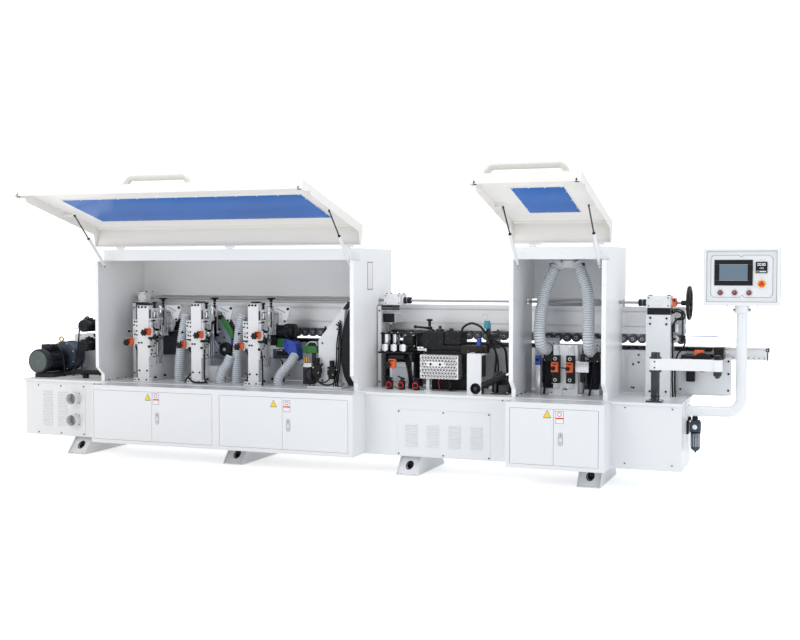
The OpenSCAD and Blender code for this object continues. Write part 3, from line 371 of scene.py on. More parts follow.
def cyl(target, origin, direction, length, radius, chamfer=0.001, seg=28):
    """A cylinder from origin along direction, chamfered at its ends."""
    c = min(chamfer, 0.3 * radius, 0.3 * length)
    lathe(target, origin, direction,
          [(0, 0), (0, radius - c), (c * 0.35, radius - c * 0.35), (c, radius),
           (length - c, radius), (length - c * 0.35, radius - c * 0.35),
           (length, radius - c), (length, 0)], seg)


def cyls(target, *rows):
    """Rows are the arguments of cyl."""
    for row in rows:
        cyl(target, *row)


def tube(target, origin, direction, length, outer, inner, chamfer=0.001, seg=28):
    c = min(chamfer, 0.3 * (outer - inner), 0.3 * length)
    lathe(target, origin, direction,
          [(0, inner), (0, outer - c), (c, outer), (length - c, outer), (length, outer - c),
           (length, inner + c), (length - c, inner), (c, inner), (0, inner)], seg)


def torus(target, origin, direction, ring, wire, seg=40, wire_seg=12, squash=1.0):
    """A ring of round wire; squash scales it across the ring frame's second axis."""
    matrix = axis_matrix(origin, direction)
    verts, faces = [], []
    for a in turn(seg):
        for b in turn(wire_seg):
            reach = ring + wire * math.cos(b)
            verts.append(matrix @ Vector((reach * math.cos(a), reach * math.sin(a) * squash,
                                          wire * math.sin(b))))
    for i in range(seg):
        for j in range(wire_seg):
            here, there, k = i * wire_seg, ((i + 1) % seg) * wire_seg, (j + 1) % wire_seg
            faces.append((here + j, there + j, there + k, here + k))
    target.add(verts, faces)


def ball(target, center, radius):
    bm = bmesh.new()
    bmesh.ops.create_uvsphere(bm, u_segments=20, v_segments=10, radius=radius)
    target.add_bmesh(bm, Matrix.Translation(Vector(center)))


def curve_points(points, steps=10):
    """Catmull-Rom through the points."""
    P = [Vector(point) for point in points]
    P = [2 * P[0] - P[1]] + P + [2 * P[-1] - P[-2]]
    line = []
    for a, b, c, d in zip(P, P[1:], P[2:], P[3:]):
        for k in range(steps):
            t = k / steps
            line.append(0.5 * ((2 * b) + (c - a) * t + (2 * a - 5 * b + 4 * c - d) * t * t
                               + (3 * b - a - 3 * c + d) * t ** 3))
    line.append(P[-2])
    return line


def skin(centers, radii, seg):
    """Round sections along a line of centres: their points and the quads between."""
    last = len(centers) - 1
    tangents = [(centers[min(i + 1, last)] - centers[max(i - 1, 0)]).normalized()
                for i in range(last + 1)]
    guide = Vector((0, 0, 1)) if abs(tangents[0].z) < 0.9 else Vector((1, 0, 0))
    side = tangents[0].cross(guide).normalized()
    verts = []
    for center, tangent, radius in zip(centers, tangents, radii):
        side = (side - tangent * side.dot(tangent)).normalized()
        other = tangent.cross(side)
        verts += [center + side * (radius * math.cos(a)) + other * (radius * math.sin(a))
                  for a in turn(seg)]
    return verts, bridge(range(0, len(verts), seg), seg)


def sweep(target, points, radius, seg=10, steps=10):
    """A round bar along a smooth line through the points."""
    line = curve_points(points, steps)
    verts, faces = skin(line, [radius] * len(line), seg)
    caps = [tuple(reversed(range(seg))), tuple(range(len(verts) - seg, len(verts)))]
    target.add(verts, faces + caps)


HOSE_PITCH, HOSE_DEPTH, HOSE_WALL, HOSE_SEG = 0.0165, 0.005, 0.0022, 28


def hose(target, points, radius):
    """Ribbed flexible hose as a closed shell with open ends."""
    curve = curve_points(points, 14)
    reached = [0]
    for a, b in zip(curve, curve[1:]):
        reached.append(reached[-1] + (b - a).length)
    length = reached[-1]
    count = int(length / HOSE_PITCH) * 6
    centers, j = [], 0
    for i in range(count + 1):
        goal = length * i / count
        while j < len(reached) - 2 and reached[j + 1] < goal:
            j += 1
        part = (goal - reached[j]) / (reached[j + 1] - reached[j])
        centers.append(curve[j].lerp(curve[j + 1], part))
    radii, run = [], 0
    for i, center in enumerate(centers):
        if i:
            run += (center - centers[i - 1]).length
        wave = 0.5 + 0.5 * math.cos(2 * math.pi * run / HOSE_PITCH)
        radii.append(radius - HOSE_DEPTH * wave ** 1.5)
    seg = HOSE_SEG
    outer, faces = skin(centers, radii, seg)
    bore = radius - HOSE_DEPTH - HOSE_WALL
    inner = []
    for i, vert in enumerate(outer):
        center = centers[i // seg]
        out = vert - center
        inner.append(center + out * (bore / out.length))
    shift = len(outer)
    faces += [(a + shift, d + shift, c + shift, b + shift) for a, b, c, d in list(faces)]
    end = shift - seg
    for k in range(seg):
        k2 = (k + 1) % seg
        faces.append((k2, k, shift + k, shift + k2))
        faces.append((end + k, end + k2, shift + end + k2, shift + end + k))
    target.add(outer + inner, faces)


def prism(target, outline, plane, low, high, bevel=0.0015, seg=2):
    """A flat (x, z) outline, drawn from y = low to high with rounded edges; plane is not used."""
    bm = bmesh.new()
    near = [bm.verts.new((a, low, b)) for a, b in outline]
    far = [bm.verts.new((a, high, b)) for a, b in outline]
    bm.faces.new(near)
    bm.faces.new(list(reversed(far)))
    for i in range(len(outline)):
        j = (i + 1) % len(outline)
        bm.faces.new((near[j], near[i], far[i], far[j]))
    bmesh.ops.recalc_face_normals(bm, faces=bm.faces[:])
    bmesh.ops.bevel(bm, geom=bm.edges[:], offset=min(bevel, abs(high - low) * 0.24),
                    segments=seg, profile=0.6, affect="EDGES", clamp_overlap=True)
    target.add_bmesh(bm)


def slab(target, outline, low, high, bevel=0.0015, seg=2):
    """An (x, z) outline drawn from y = low to y = high."""
    prism(target, outline, "xz", low, high, bevel, seg)


def arc(x, z, radius, start, end, steps=10):
    """Points on an arc, angles in degrees."""
    angles = [rad(start + (end - start) * i / steps) for i in range(steps + 1)]
    return [(x + radius * math.cos(a), z + radius * math.sin(a)) for a in angles]


def bolt(target, origin, direction, radius):
    """A socket head screw, its socket sunk in the top."""
    matrix = axis_matrix(origin, direction)
    seg, height = 18, radius * 0.9
    verts = []
    for scale, along in ((1, 0), (1, 0.8), (0.86, 1), (0.5, 1), (0.5, 0.45)):
        verts += ring_points(matrix, radius * scale, height * along, seg)
    faces = bridge(range(0, len(verts), seg), seg)
    faces += [tuple(reversed(range(seg))), tuple(range(4 * seg, 5 * seg))]
    target.add(verts, faces)


def bolts(target, direction, radius, places):
    for place in places:
        bolt(target, place, direction, radius)


def hex_head(target, origin, direction, radius, height):
    matrix = axis_matrix(origin, direction)
    verts = []
    for scale, along in ((1, 0), (1, 0.8), (0.85, 1)):
        verts += ring_points(matrix, radius * scale, height * along, 6)
    faces = bridge((0, 6, 12), 6)
    target.add(verts, faces + [tuple(reversed(range(6))), tuple(range(12, 18))])


def star_knob(target, origin, direction, radius, height, lobes=6, seg=60):
    """Star grip with rounded lobes and a domed face."""
    matrix = axis_matrix(origin, direction)
    verts = []
    # share of the height, share of the radius
    for along, scale in ((0, 0.55), (0.12, 0.8), (0.35, 0.98), (0.65, 1.0), (0.88, 0.9),
                         (1, 0.66), (1.02, 0.3)):
        for a in turn(seg):
            wave = 0.86 + 0.14 * math.cos(lobes * a) if scale > 0.5 else 1.0
            reach = radius * scale * wave
            verts.append(matrix @ Vector((reach * math.cos(a), reach * math.sin(a),
                                          height * along)))
    top = len(verts) - seg
    faces = bridge(range(0, len(verts), seg), seg)
    target.add(verts, faces + [tuple(reversed(range(seg))), tuple(range(top, top + seg))])


# ------------------------------------------------------------------ shared assemblies
def counter(name, x, y, z, knob_radius=0.029, width=0.046, height=0.058, star=True,
            knob_shift=-0.006):
    """Orange position counter with window, seal and grip knob; y is the case's back."""
    case = piece(name, "orange")
    box(case, (x, y - 0.011, z + 0.002), (width, 0.030, height), 0.005, seg=3)
    box(case, (x, y - 0.028, z - 0.004), (width * 0.82, 0.008, height * 0.72), 0.003)
    axis_x, axis_z = x + knob_shift, z - 0.004
    black = piece(name, "blk")
    box(black, (x, y - 0.030, z + height * 0.33), (width * 0.55, 0.004, 0.010), 0.001)
    cyl(black, (axis_x, y - 0.030, axis_z), FRONT, 0.014, 0.013)
    steel = piece(name, "steel")
    box(steel, (x + 0.003, y + 0.008, z + 0.001), (width * 0.9, 0.006, height * 0.95), 0.001)
    cyl(steel, (axis_x, y - 0.043, axis_z), FRONT, 0.006, 0.007)
    bolts(black, FRONT, 0.0028,
          [(x + s * width * 0.36, y - 0.0265, z + height * 0.38) for s in (-1, 1)])
    if star:
        star_knob(black, (axis_x, y - 0.045, axis_z), FRONT, knob_radius, 0.026)
        cyl(black, (axis_x, y - 0.070, axis_z), FRONT, 0.003, knob_radius * 0.3)
    else:
        lathe(black, (axis_x, y - 0.044, axis_z), FRONT,
              [(0, 0), (0, knob_radius * 0.8), (0.003, knob_radius), (0.020, knob_radius),
               (0.024, knob_radius * 0.85), (0.025, 0)], 24)
        box_ring(black, (axis_x, y - 0.055, axis_z), knob_radius, 16,
                 (0.0022, 0.016, 0.0022), 0.0006)


def spindle_knob(name, x, y, top, low):
    """Black mushroom knob on a threaded spindle with two lock nuts."""
    black = piece(name, "blk")
    radius, pitch = 0.036, 0.002
    lathe(black, (x, y, top), DOWN,
          [(0, 0), (0.0005, radius * 0.6), (0.003, radius * 0.95), (0.007, radius),
           (0.012, radius * 0.93), (0.015, radius * 0.5), (0.022, radius * 0.33),
           (0.034, radius * 0.4), (0.036, 0)], 26)
    length = top - 0.03 - low
    profile = [(0, 0)]
    for i in range(int(length / pitch)):
        profile += [(i * pitch, 0.0052), (i * pitch + pitch / 2, 0.0066)]
    profile += [(length, 0.0052), (length, 0)]
    lathe(piece(name, "dsteel"), (x, y, low), UP, profile, 12)
    for drop in (0.075, 0.055):
        hex_head(black, (x, y, top - drop), UP, 0.013, 0.010)


# ------------------------------------------------------------------ trimming units
# name, body of the moving head, left x, right x, top z, rise of the spindle knob
UNITS = [("scraper_unit", "scraper", -2.429, -2.323, 1.215, 0.060),
         ("fine_trim_unit", "fine_trimmer", -1.928, -1.838, 1.236, 0.046),
         ("rough_trim_unit", "rough_trimmer", -1.416, -1.326, 1.239, 0.046)]
UNIT_FRONT = 0.130


def unit_left_side(name, left, right, top, black):
    """Front plate screws, foot slots, and the bracket plate with its clamp lever."""
    width = right - left
    bolts(black, FRONT, 0.0085,
          [(left + k * width, UNIT_FRONT, top - 0.012) for k in (0.14, 0.44, 0.75)])
    bolts(black, FRONT, 0.0072, [(left + k * width, UNIT_FRONT, 0.912) for k in (0.13, 0.38)])
    for k in (0.16, 0.84):
        bolt(black, (left + k * width, UNIT_FRONT, 0.686), FRONT, 0.0075)
        bolt(black, (left + k * width, UNIT_FRONT - 0.012, 0.613), FRONT, 0.0065)
    for x in (left - 0.019, right + 0.017):
        box(piece(name + "_foot", "shadow"), (x, UNIT_FRONT - 0.0125, 0.612),
            (0.018, 0.002, 0.007), 0.0009)
    blocks(piece(name + "_side", "white"),
           (left - 0.058, left - 0.002, 0.152, 0.166, 0.950, 1.100, 0.003),
           (left - 0.020, left, 0.140, 0.190, 0.955, 1.095, 0.002))
    bolts(black, FRONT, 0.0068,
          [(left - 0.040, 0.152, 1.083), (left - 0.046, 0.152, 1.055),
           (left - 0.038, 0.152, 0.978), (left - 0.010, 0.140, 1.083),
           (left - 0.010, 0.140, 1.050), (left - 0.010, 0.140, 1.008),
           (left - 0.010, 0.140, 0.975)])
    cyl(black, (left - 0.050, 0.155, 1.005), (-0.5, -0.85, 0), 0.045, 0.0045)
    ball(black, (left - 0.073, 0.116, 1.005), 0.0105)
    cyl(piece(name + "_side", "steel"), (left - 0.030, 0.140, 1.005), LEFT, 0.03, 0.006)


def unit_right_side(name, right, top, knob_rise, black):
    """Rod plates and cage, foot screws, top arm, spindle knob and clamp jaws."""
    white = piece(name + "_side", "white")
    plate = piece(name + "_rods", "plate")
    steel = piece(name + "_rods", "steel")
    dark = piece(name + "_rods", "shadow")
    block(white, right, right + 0.009, 0.134, 0.222, 0.8, 0.948, 0.002)
    bolts(black, RIGHT, 0.0072,
          [(right + 0.009, y, z) for y, z in
           ((0.150, 0.935), (0.205, 0.935), (0.205, 0.905), (0.160, 0.852), (0.150, 0.820),
            (0.205, 0.822))])
    cyl(black, (right + 0.016, 0.190, 0.885), (0.1, -1, 0), 0.085, 0.0048)
    lathe(black, (right + 0.024, 0.108, 0.885), FRONT,
          [(0, 0), (0.001, 0.008), (0.010, 0.011), (0.020, 0.009), (0.023, 0)], 18)
    cyl(steel, (right + 0.020, 0.165, 0.885), (0.1, -1, 0), 0.03, 0.0075)
    # rod cage between the foot box and the top arm
    for y in (0.236, 0.262, 0.330):
        cyl(steel, (right - 0.002, y, 0.735), UP, 0.330, 0.0068)
    # painted shade: a dark block in the gap behind the rods
    block(dark, right - 0.010, right + 0.001, 0.276, 0.318, 0.735, 0.935, 0.001)
    blocks(plate, (right - 0.012, right + 0.006, 0.226, 0.348, 0.935, 0.955, 0.002),
           (right - 0.012, right + 0.006, 0.226, 0.348, 0.790, 0.802, 0.002),
           (right, right + 0.005, 0.274, 0.286, 0.735, 0.935, 0.001),
           (right, right + 0.005, 0.306, 0.318, 0.735, 0.935, 0.001))
    cyl(steel, (right + 0.001, 0.296, 0.735), UP, 0.20, 0.0045)
    for y, z in ((0.215, 0.622), (0.360, 0.628)):
        cyl(black, (right + 0.004, y, z), (0, -0.35, 1), 0.011, 0.012, 0.003)
        torus(black, (right + 0.004, y, z), UP, 0.013, 0.003, 20, 6)
    bolts(piece(name + "_rods", "dsteel"), RIGHT, 0.004,
          [(right, 0.170, 0.722), (right, 0.330, 0.718)])
    # top arm
    blocks(white, (right - 0.036, right + 0.012, 0.190, 0.345, 1.172, 1.192, 0.003),
           (right - 0.030, right + 0.012, 0.140, 0.330, 1.094, 1.112, 0.003))
    cyl(steel, (right - 0.006, 0.222, 1.112), UP, 0.060, 0.017)
    cyls(black, ((right - 0.006, 0.222, 1.112), UP, 0.006, 0.0195),
         ((right - 0.006, 0.222, 1.166), UP, 0.006, 0.0195))
    cyl(plate, (right - 0.004, 0.266, 1.112), UP, 0.060, 0.010)
    blocks(black, (right - 0.002, right + 0.004, 0.140, 0.158, 1.108, 1.182, 0.002),
           (right - 0.100, right - 0.036, 0.200, 0.260, top + 0.004, top + 0.016, 0.003))
    cyl(black, (right - 0.012, 0.240, 1.190), UP, 0.040, 0.010)
    lathe(black, (right - 0.012, 0.240, 1.230), UP,
          [(0, 0), (0, 0.016), (0.010, 0.018), (0.014, 0.012), (0.015, 0)], 20)
    chrome = piece(name + "_rods", "chrome")
    cyl(chrome, (right + 0.004, 0.302, 1.150), UP, 0.062, 0.016)
    spindle_knob(name, right + 0.004, 0.345, top + knob_rise, 1.045)
    # clamp jaws under the arm
    for y, z, depth in ((0.170, 1.085, 0.024), (0.170, 1.022, 0.024), (0.225, 1.010, 0.03)):
        block(black, right - 0.004, right + 0.024, y, y + depth, z, z + 0.014, 0.003)
    block(piece(name + "_rods", "cast_white"),
          right - 0.002, right + 0.016, 0.140, 0.165, 1.020, 1.085, 0.004)
    cyl(chrome, (right + 0.018, 0.245, 0.985), FRONT, 0.05, 0.024)
    torus(chrome, (right + 0.018, 0.195, 0.985), FRONT, 0.019, 0.005, 28, 8)
    block(black, right - 0.002, right + 0.020, 0.150, 0.200, 0.950, 0.975, 0.004)
    cyls(black, ((right + 0.020, 0.215, 0.955), RIGHT, 0.012, 0.012),
         ((right + 0.020, 0.215, 0.925), RIGHT, 0.012, 0.010))


def unit_head(body, right):
    """Moving head: triangular arm plate and slide block."""
    arm = piece(body + "_arm", "cast_white", body)
    slab(arm, [(right - 0.020, 1.176), (right - 0.020, 1.204), (right + 0.010, 1.212)]
         + arc(right + 0.148, 1.194, 0.020, 95, -10, 6)
         + arc(right + 0.120, 1.096, 0.015, -20, -160, 6)
         + [(right + 0.088, 1.158), (right + 0.070, 1.166), (right + 0.020, 1.176)],
         0.356, 0.366, 0.002)
    slab(arm, [(right + 0.060, 1.168), (right + 0.082, 1.158), (right + 0.110, 1.098),
               (right + 0.104, 1.096), (right + 0.070, 1.156)], 0.350, 0.372, 0.001)
    black = piece(body + "_arm", "blk", body)
    bolt(black, (right + 0.148, 0.356, 1.194), FRONT, 0.011)
    bolt(black, (right + 0.121, 0.356, 1.096), FRONT, 0.009)
    box(black, (right + 0.085, 0.3555, 1.181), (0.080, 0.003, 0.004), 0.001, (0, 25, 0))
    slide = piece(body + "_slide", "plate", body)
    blocks(slide, (right + 0.016, right + 0.024, 0.352, 0.440, 0.985, 1.190, 0.002),
           (right - 0.030, right + 0.030, 0.372, 0.390, 0.960, 1.100, 0.003))
    bolts(black, RIGHT, 0.005,
          [(right + 0.024, y, z) for z in (1.02, 1.06, 1.15) for y in (0.375, 0.420)])
    cyl(slide, (right - 0.012, 0.355, 1.00), FRONT, 0.02, 0.012)


for name, body, left, right, top, knob_rise in UNITS:
    screws = piece(name + "_bolts", "dsteel")
    screws.material = "blk"     # black, whatever its name says
    unit_left_side(name, left, right, top, screws)
    unit_right_side(name, right, top, knob_rise, screws)
    unit_head(body, right)

# counters on the units: upper right and lower left of each
UNIT_COUNTERS = [(-2.310, 0.104, 1.004), (-2.507, 0.154, 0.917), (-1.826, 0.104, 0.990),
                 (-2.012, 0.154, 0.905), (-1.313, 0.104, 0.995), (-1.492, 0.154, 0.903)]
for k, (x, y, z) in enumerate(UNIT_COUNTERS):
    name = "unit_counter_%d" % (k + 1)
    counter(name, x, y, z)
    white = piece(name, "white")
    block(white, x + 0.014, x + 0.032, y + 0.008, y + 0.026, z - 0.034, z + 0.034, 0.002)
    if k % 2 == 0:
        block(white, x - 0.060, x + 0.024, y + 0.014, 0.130, z - 0.042, z - 0.030, 0.002)
        block(piece(name, "blk"),
              x - 0.010, x + 0.045, y + 0.010, y + 0.060, z - 0.062, z - 0.044, 0.004)
    else:
        block(white, x + 0.020, x + 0.078, y + 0.010, y + 0.022, z - 0.020, z + 0.030, 0.002)

# scraper head motor and guard disc
motor = piece("scraper_motor", "motor_grey", "scraper")
block(motor, -2.356, -2.216, 0.395, 0.520, 0.8, 0.955, 0.006, 3)
for k in range(12):
    y = 0.4 + 0.0098 * k
    block(motor, -2.3585, -2.2135, y, y + 0.004, 0.806, 0.950, 0.0006)
black = piece("scraper_motor", "blk", "scraper")
block(black, -2.360, -2.212, 0.392, 0.522, 0.955, 0.978, 0.004)
cyl(black, (-2.270, 0.470, 1.010), BACK, 0.030, 0.088, 0.003, 40)
torus(black, (-2.270, 0.470, 1.010), BACK, 0.080, 0.006, 40, 8)
blocks(black, (-2.340, -2.3, 0.4, 0.440, 0.978, 1.010, 0.004),
       (-2.262, -2.222, 0.4, 0.430, 0.978, 0.998, 0.003))
cyl(piece("scraper_motor", "steel", "scraper"), (-2.275, 0.440, 0.993), RIGHT, 0.035, 0.008)
bolts(black, FRONT, 0.005,
      [(x, 0.395, z) for x in (-2.345, -2.227) for z in (0.812, 0.940)])
slab(piece("scraper_plate", "plate", "scraper"),
     [(-2.345, 0.985), (-2.345, 1.175), (-2.290, 1.190), (-2.262, 1.120), (-2.262, 1.060),
      (-2.285, 0.990)], 0.440, 0.450, 0.002)

# fine trimming head: slanted plate, belt guard with green strip, cutter hood
slab(piece("fine_trim_backplate", "plate_dark", "fine_trimmer"),
     [(-1.858, 0.782), (-1.858, 1.040), (-1.838, 1.092), (-1.790, 1.100), (-1.760, 1.070),
      (-1.7, 0.960), (-1.7, 0.860), (-1.735, 0.8), (-1.790, 0.782)], 0.372, 0.384, 0.002)
black = piece("fine_trim_plate", "blk", "fine_trimmer")
bolts(black, FRONT, 0.0075,
      [(-1.842, 0.372, 1.085), (-1.826, 0.372, 1.050), (-1.803, 0.372, 1.022),
       (-1.762, 0.372, 0.955), (-1.803, 0.372, 0.908), (-1.838, 0.372, 0.830)])
BELT_GUARD = [  # (x, z): outer edge, then back along the inner edge
    (-1.893, 1.010), (-1.880, 1.075), (-1.848, 1.122), (-1.8, 1.140), (-1.755, 1.130),
    (-1.722, 1.095), (-1.690, 1.040), (-1.664, 0.985), (-1.668, 0.950),
    (-1.690, 0.940), (-1.7, 0.985), (-1.735, 1.050), (-1.760, 1.092), (-1.8, 1.105),
    (-1.836, 1.090), (-1.858, 1.060), (-1.868, 1.005)]
slab(black, BELT_GUARD, 0.366, 0.430, 0.002)
slab(piece("fine_trim_strip", "green", "fine_trimmer"),
     [(-1.784, 1.099), (-1.752, 1.136), (-1.672, 1.008), (-1.672, 0.956), (-1.690, 0.948)],
     0.350, 0.3655, 0.0015)
block(piece("fine_trim_plate", "blue", "fine_trimmer"),
      -1.752, -1.690, 0.380, 0.430, 0.895, 0.930, 0.004)
cyl(black, (-1.745, 0.350, 0.860), BACK, 0.080, 0.056, 0.004, 36)
torus(black, (-1.745, 0.352, 0.860), FRONT, 0.044, 0.006, 36, 8)
cyl(piece("fine_trim_plate", "hub", "fine_trimmer"), (-1.745, 0.342, 0.860), FRONT, 0.006, 0.014)
housing = piece("fine_trim_housing", "motor_blue", "fine_trimmer")
block(housing, -1.848, -1.7, 0.394, 0.505, 0.803, 0.930, 0.006, 3)
cyl(housing, (-1.790, 0.450, 0.93), UP, 0.130, 0.050, 0.004, 36)
slab(black, [(-1.905, 0.985), (-1.880, 1.010), (-1.852, 1.005), (-1.850, 0.955),
             (-1.880, 0.945)], 0.356, 0.4, 0.003)
block(black, -1.9, -1.845, 0.350, 0.4, 0.930, 0.950, 0.003)
sweep(piece("fine_trim_plate", "greylight", "fine_trimmer"),
      [(-1.840, 0.366, 0.925), (-1.812, 0.362, 0.880), (-1.775, 0.362, 0.830),
       (-1.745, 0.366, 0.8)], 0.006)
box(piece("fine_trim_housing", "steel", "fine_trimmer"), (-1.805, 0.370, 1.0),
    (0.060, 0.004, 0.010), 0.001)

# rounded foot of the second unit
lathe(piece("fine_trim_unit_foot", "cast_white"), (-1.822, 0.330, TABLE_Z), UP,
      [(0, 0), (0, 0.066), (0.006, 0.070), (0.120, 0.070), (0.128, 0.066), (0.130, 0)], 40)
for y in (0.276, 0.38):
    cyl(piece("fine_trim_unit_foot", "blk"), (-1.765, y, 0.622), (0.6, -0.6, 0.5),
        0.012, 0.010, 0.002)

# rough trimming head: horizontal motor, green junction box, blue chip hood
black = piece("rough_trim_motor", "blk", "rough_trimmer")
cyl(black, (-1.350, 0.430, 1.010), RIGHT, 0.150, 0.050, 0.004, 40)
for k in range(13):
    torus(black, (-1.338 + 0.010 * k, 0.430, 1.010), RIGHT, 0.050, 0.0026, 36, 6)
cyl(black, (-1.198, 0.430, 1.012), RIGHT, 0.050, 0.062, 0.004, 40)
slab(black, [(-1.262, 0.975), (-1.262, 1.015)] + arc(-1.2, 1.010, 0.066, 165, 20)
     + [(-1.120, 1.0), (-1.120, 0.975)], 0.395, 0.470, 0.003)
blocks(black, (-1.375, -1.240, 0.395, 0.470, 0.935, 0.965, 0.004),
       (-1.345, -1.290, 0.360, 0.395, 0.9, 0.985, 0.004))
cyls(black, ((-1.330, 0.4, 1.055), UP, 0.014, 0.008), ((-1.3, 0.4, 1.062), UP, 0.014, 0.008))
torus(piece("rough_trim_motor", "dsteel", "rough_trimmer"),
      (-1.198, 0.392, 1.012), FRONT, 0.040, 0.006, 36, 8)
blocks(piece("rough_trim_box", "green", "rough_trimmer"),
       (-1.302, -1.208, 0.385, 0.460, 0.888, 0.950, 0.004, 3),
       (-1.306, -1.204, 0.381, 0.464, 0.940, 0.954, 0.003))
bolts(piece("rough_trim_box", "dsteel", "rough_trimmer"), FRONT, 0.004,
      [(-1.296, 0.385, 0.9), (-1.214, 0.385, 0.9)])
blue_hood = piece("rough_trim_hood", "blue", "rough_trimmer")
slab(blue_hood,
     [(-1.206, 0.952), (-1.170, 0.952), (-1.140, 0.946), (-1.112, 0.930), (-1.096, 0.9),
      (-1.092, 0.850), (-1.095, 0.8), (-1.108, 0.778), (-1.140, 0.776), (-1.150, 0.8),
      (-1.168, 0.838), (-1.206, 0.870)], 0.330, 0.430, 0.006, 3)
slab(blue_hood,
     [(-1.118, 0.940), (-1.100, 0.918), (-1.086, 0.860), (-1.086, 0.790), (-1.094, 0.790),
      (-1.100, 0.860), (-1.112, 0.912)], 0.324, 0.436, 0.002)
bolts(piece("rough_trim_hood", "blk", "rough_trimmer"), FRONT, 0.005,
      [(-1.186, 0.330, 0.935), (-1.170, 0.330, 0.905), (-1.180, 0.330, 0.875)])
block(piece("rough_trim_rail", "plate", "rough_trimmer"),
      -1.330, -1.2, 0.4, 0.470, 0.870, 0.886, 0.003)
block(black, -1.3, -1.215, 0.4, 0.470, 0.822, 0.868, 0.004)
block(piece("rough_trim_rail", "motor_blue", "rough_trimmer"),
      -1.352, -1.215, 0.430, 0.5, 0.790, 0.868, 0.005)
box(piece("rough_trim_rail", "steel", "rough_trimmer"), (-1.270, 0.385, 0.862),
    (0.055, 0.010, 0.010), 0.003)

# second green box, of the end trimming drive, with its dark roof
blocks(piece("end_trim_box", "green"), (-1.070, -0.945, 0.390, 0.460, 0.846, 0.902, 0.004, 3),
       (-1.036, -1.028, 0.384, 0.466, 0.842, 0.904, 0.002))
slab(piece("end_trim_box", "blk"),
     [(-1.030, 0.904), (-1.005, 0.930), (-0.960, 0.930), (-0.945, 0.904)],
     0.395, 0.455, 0.002)
slab(piece("end_trim_box", "plate"),
     [(-1.040, 0.903), (-1.012, 0.936), (-0.955, 0.936), (-0.935, 0.903), (-0.940, 0.903),
      (-0.960, 0.931), (-1.008, 0.931), (-1.034, 0.903)], 0.392, 0.458, 0.001)
block(piece("end_trim_box", "dsteel"), -1.010, -0.985, 0.440, 0.470, TABLE_Z, 0.850, 0.003)

# ------------------------------------------------------------------ end trimming unit
pedestal = piece("end_trim_pedestal", "white")
block(pedestal, -0.895, -0.605, 0.105, 0.3, TABLE_Z, 0.613, 0.002)
bolts(piece("end_trim_pedestal", "dsteel"), UP, 0.008,
      [(x, 0.125, 0.613) for x in (-0.880, -0.850, -0.640, -0.615)])
bolts(piece("end_trim_bolts", "blk"), FRONT, 0.0065,
      [(x, 0.196, z) for x, z in ((-0.806, 0.940), (-0.806, 0.780), (-0.680, 1.050),
                                  (-0.680, 0.9), (-0.806, 0.650), (-0.680, 0.650))])
SLANT = math.atan2(0.18, 0.14)
SLIDE_X, SLIDE_Z, SLIDE_LIFT = -0.735, 1.050, 0.040


def slide_point(along, y, above):
    """A point on the slanted slide: along it, and above it square to its slope."""
    above += SLIDE_LIFT
    return (SLIDE_X + along * math.cos(SLANT) - above * math.sin(SLANT), y,
            SLIDE_Z + along * math.sin(SLANT) + above * math.cos(SLANT))


def slide_boxes(target, *rows):
    """Rows are start and end along, y range, range above the slide, edge radius."""
    for start, end, y0, y1, low, high, bevel in rows:
        box(target, slide_point((start + end) / 2, (y0 + y1) / 2, (low + high) / 2),
            (abs(end - start), y1 - y0, abs(high - low)), bevel, (0, -deg(SLANT), 0))


END_BODY = "end_trimmer"
slide_boxes(piece("end_trim_slide", "blk", END_BODY),
            (0.002, 0.236, 0.263, 0.271, -0.048, 0.002, 0.002),
            (0.0, 0.232, 0.2715, 0.3, -0.050, 0.004, 0.003),
            (0.196, 0.262, 0.276, 0.3, -0.060, 0.010, 0.004),
            (-0.020, 0.012, 0.276, 0.3, -0.060, 0.012, 0.004))
slide_boxes(piece("end_trim_slide", "chrome", END_BODY),
            *((0.006, 0.230, 0.2585, 0.2640, h - 0.0018, h + 0.0018, 0.0008)
              for h in (-0.0445, -0.0005)))
bolts(piece("end_trim_slide", "zinc", END_BODY), FRONT, 0.0055,
      [slide_point(along, 0.276, h) for along in (0.212, 0.244) for h in (-0.048, -0.002)])
slab(piece("end_trim_carriage", "castblk", END_BODY),
     [(-0.690, 1.072), (-0.560, 0.905), (-0.505, 0.960), (-0.505, 1.176), (-0.562, 1.232)],
     0.278, 0.3, 0.003)
SAW_X, SAW_Z = -0.560, 1.060
motor = piece("end_trim_motor", "motor_grey", END_BODY)
cyl(motor, (SAW_X, 0.292, SAW_Z), BACK, 0.155, 0.060, 0.004, 40)
for k in range(9):
    torus(motor, (SAW_X, 0.312 + 0.013 * k, SAW_Z), FRONT, 0.060, 0.003, 36, 6)
cyl(piece("end_trim_motor", "blk", END_BODY), (SAW_X, 0.284, SAW_Z), BACK,
    0.012, 0.056, 0.003, 40)
box_ring(piece("end_trim_motor", "shadow", END_BODY), (SAW_X, 0.2835, SAW_Z), 0.034, 10,
         (0.022, 0.002, 0.005), 0.0006)
cyl(piece("end_trim_motor", "steel", END_BODY), (SAW_X, 0.445, SAW_Z), BACK, 0.045, 0.012)
saw = []
for a in turn(36):
    for radius, lead in ((0.079, 0), (0.085, 0.10)):
        saw.append((SAW_X + radius * math.cos(a + lead), SAW_Z + radius * math.sin(a + lead)))
slab(piece("end_trim_saw_blade", "steel", END_BODY), saw, 0.4810, 0.4850, 0.0002)
block(piece("end_trim_guard", "green", END_BODY),
      -0.607, -0.540, 0.3, 0.380, 0.922, 0.986, 0.004)

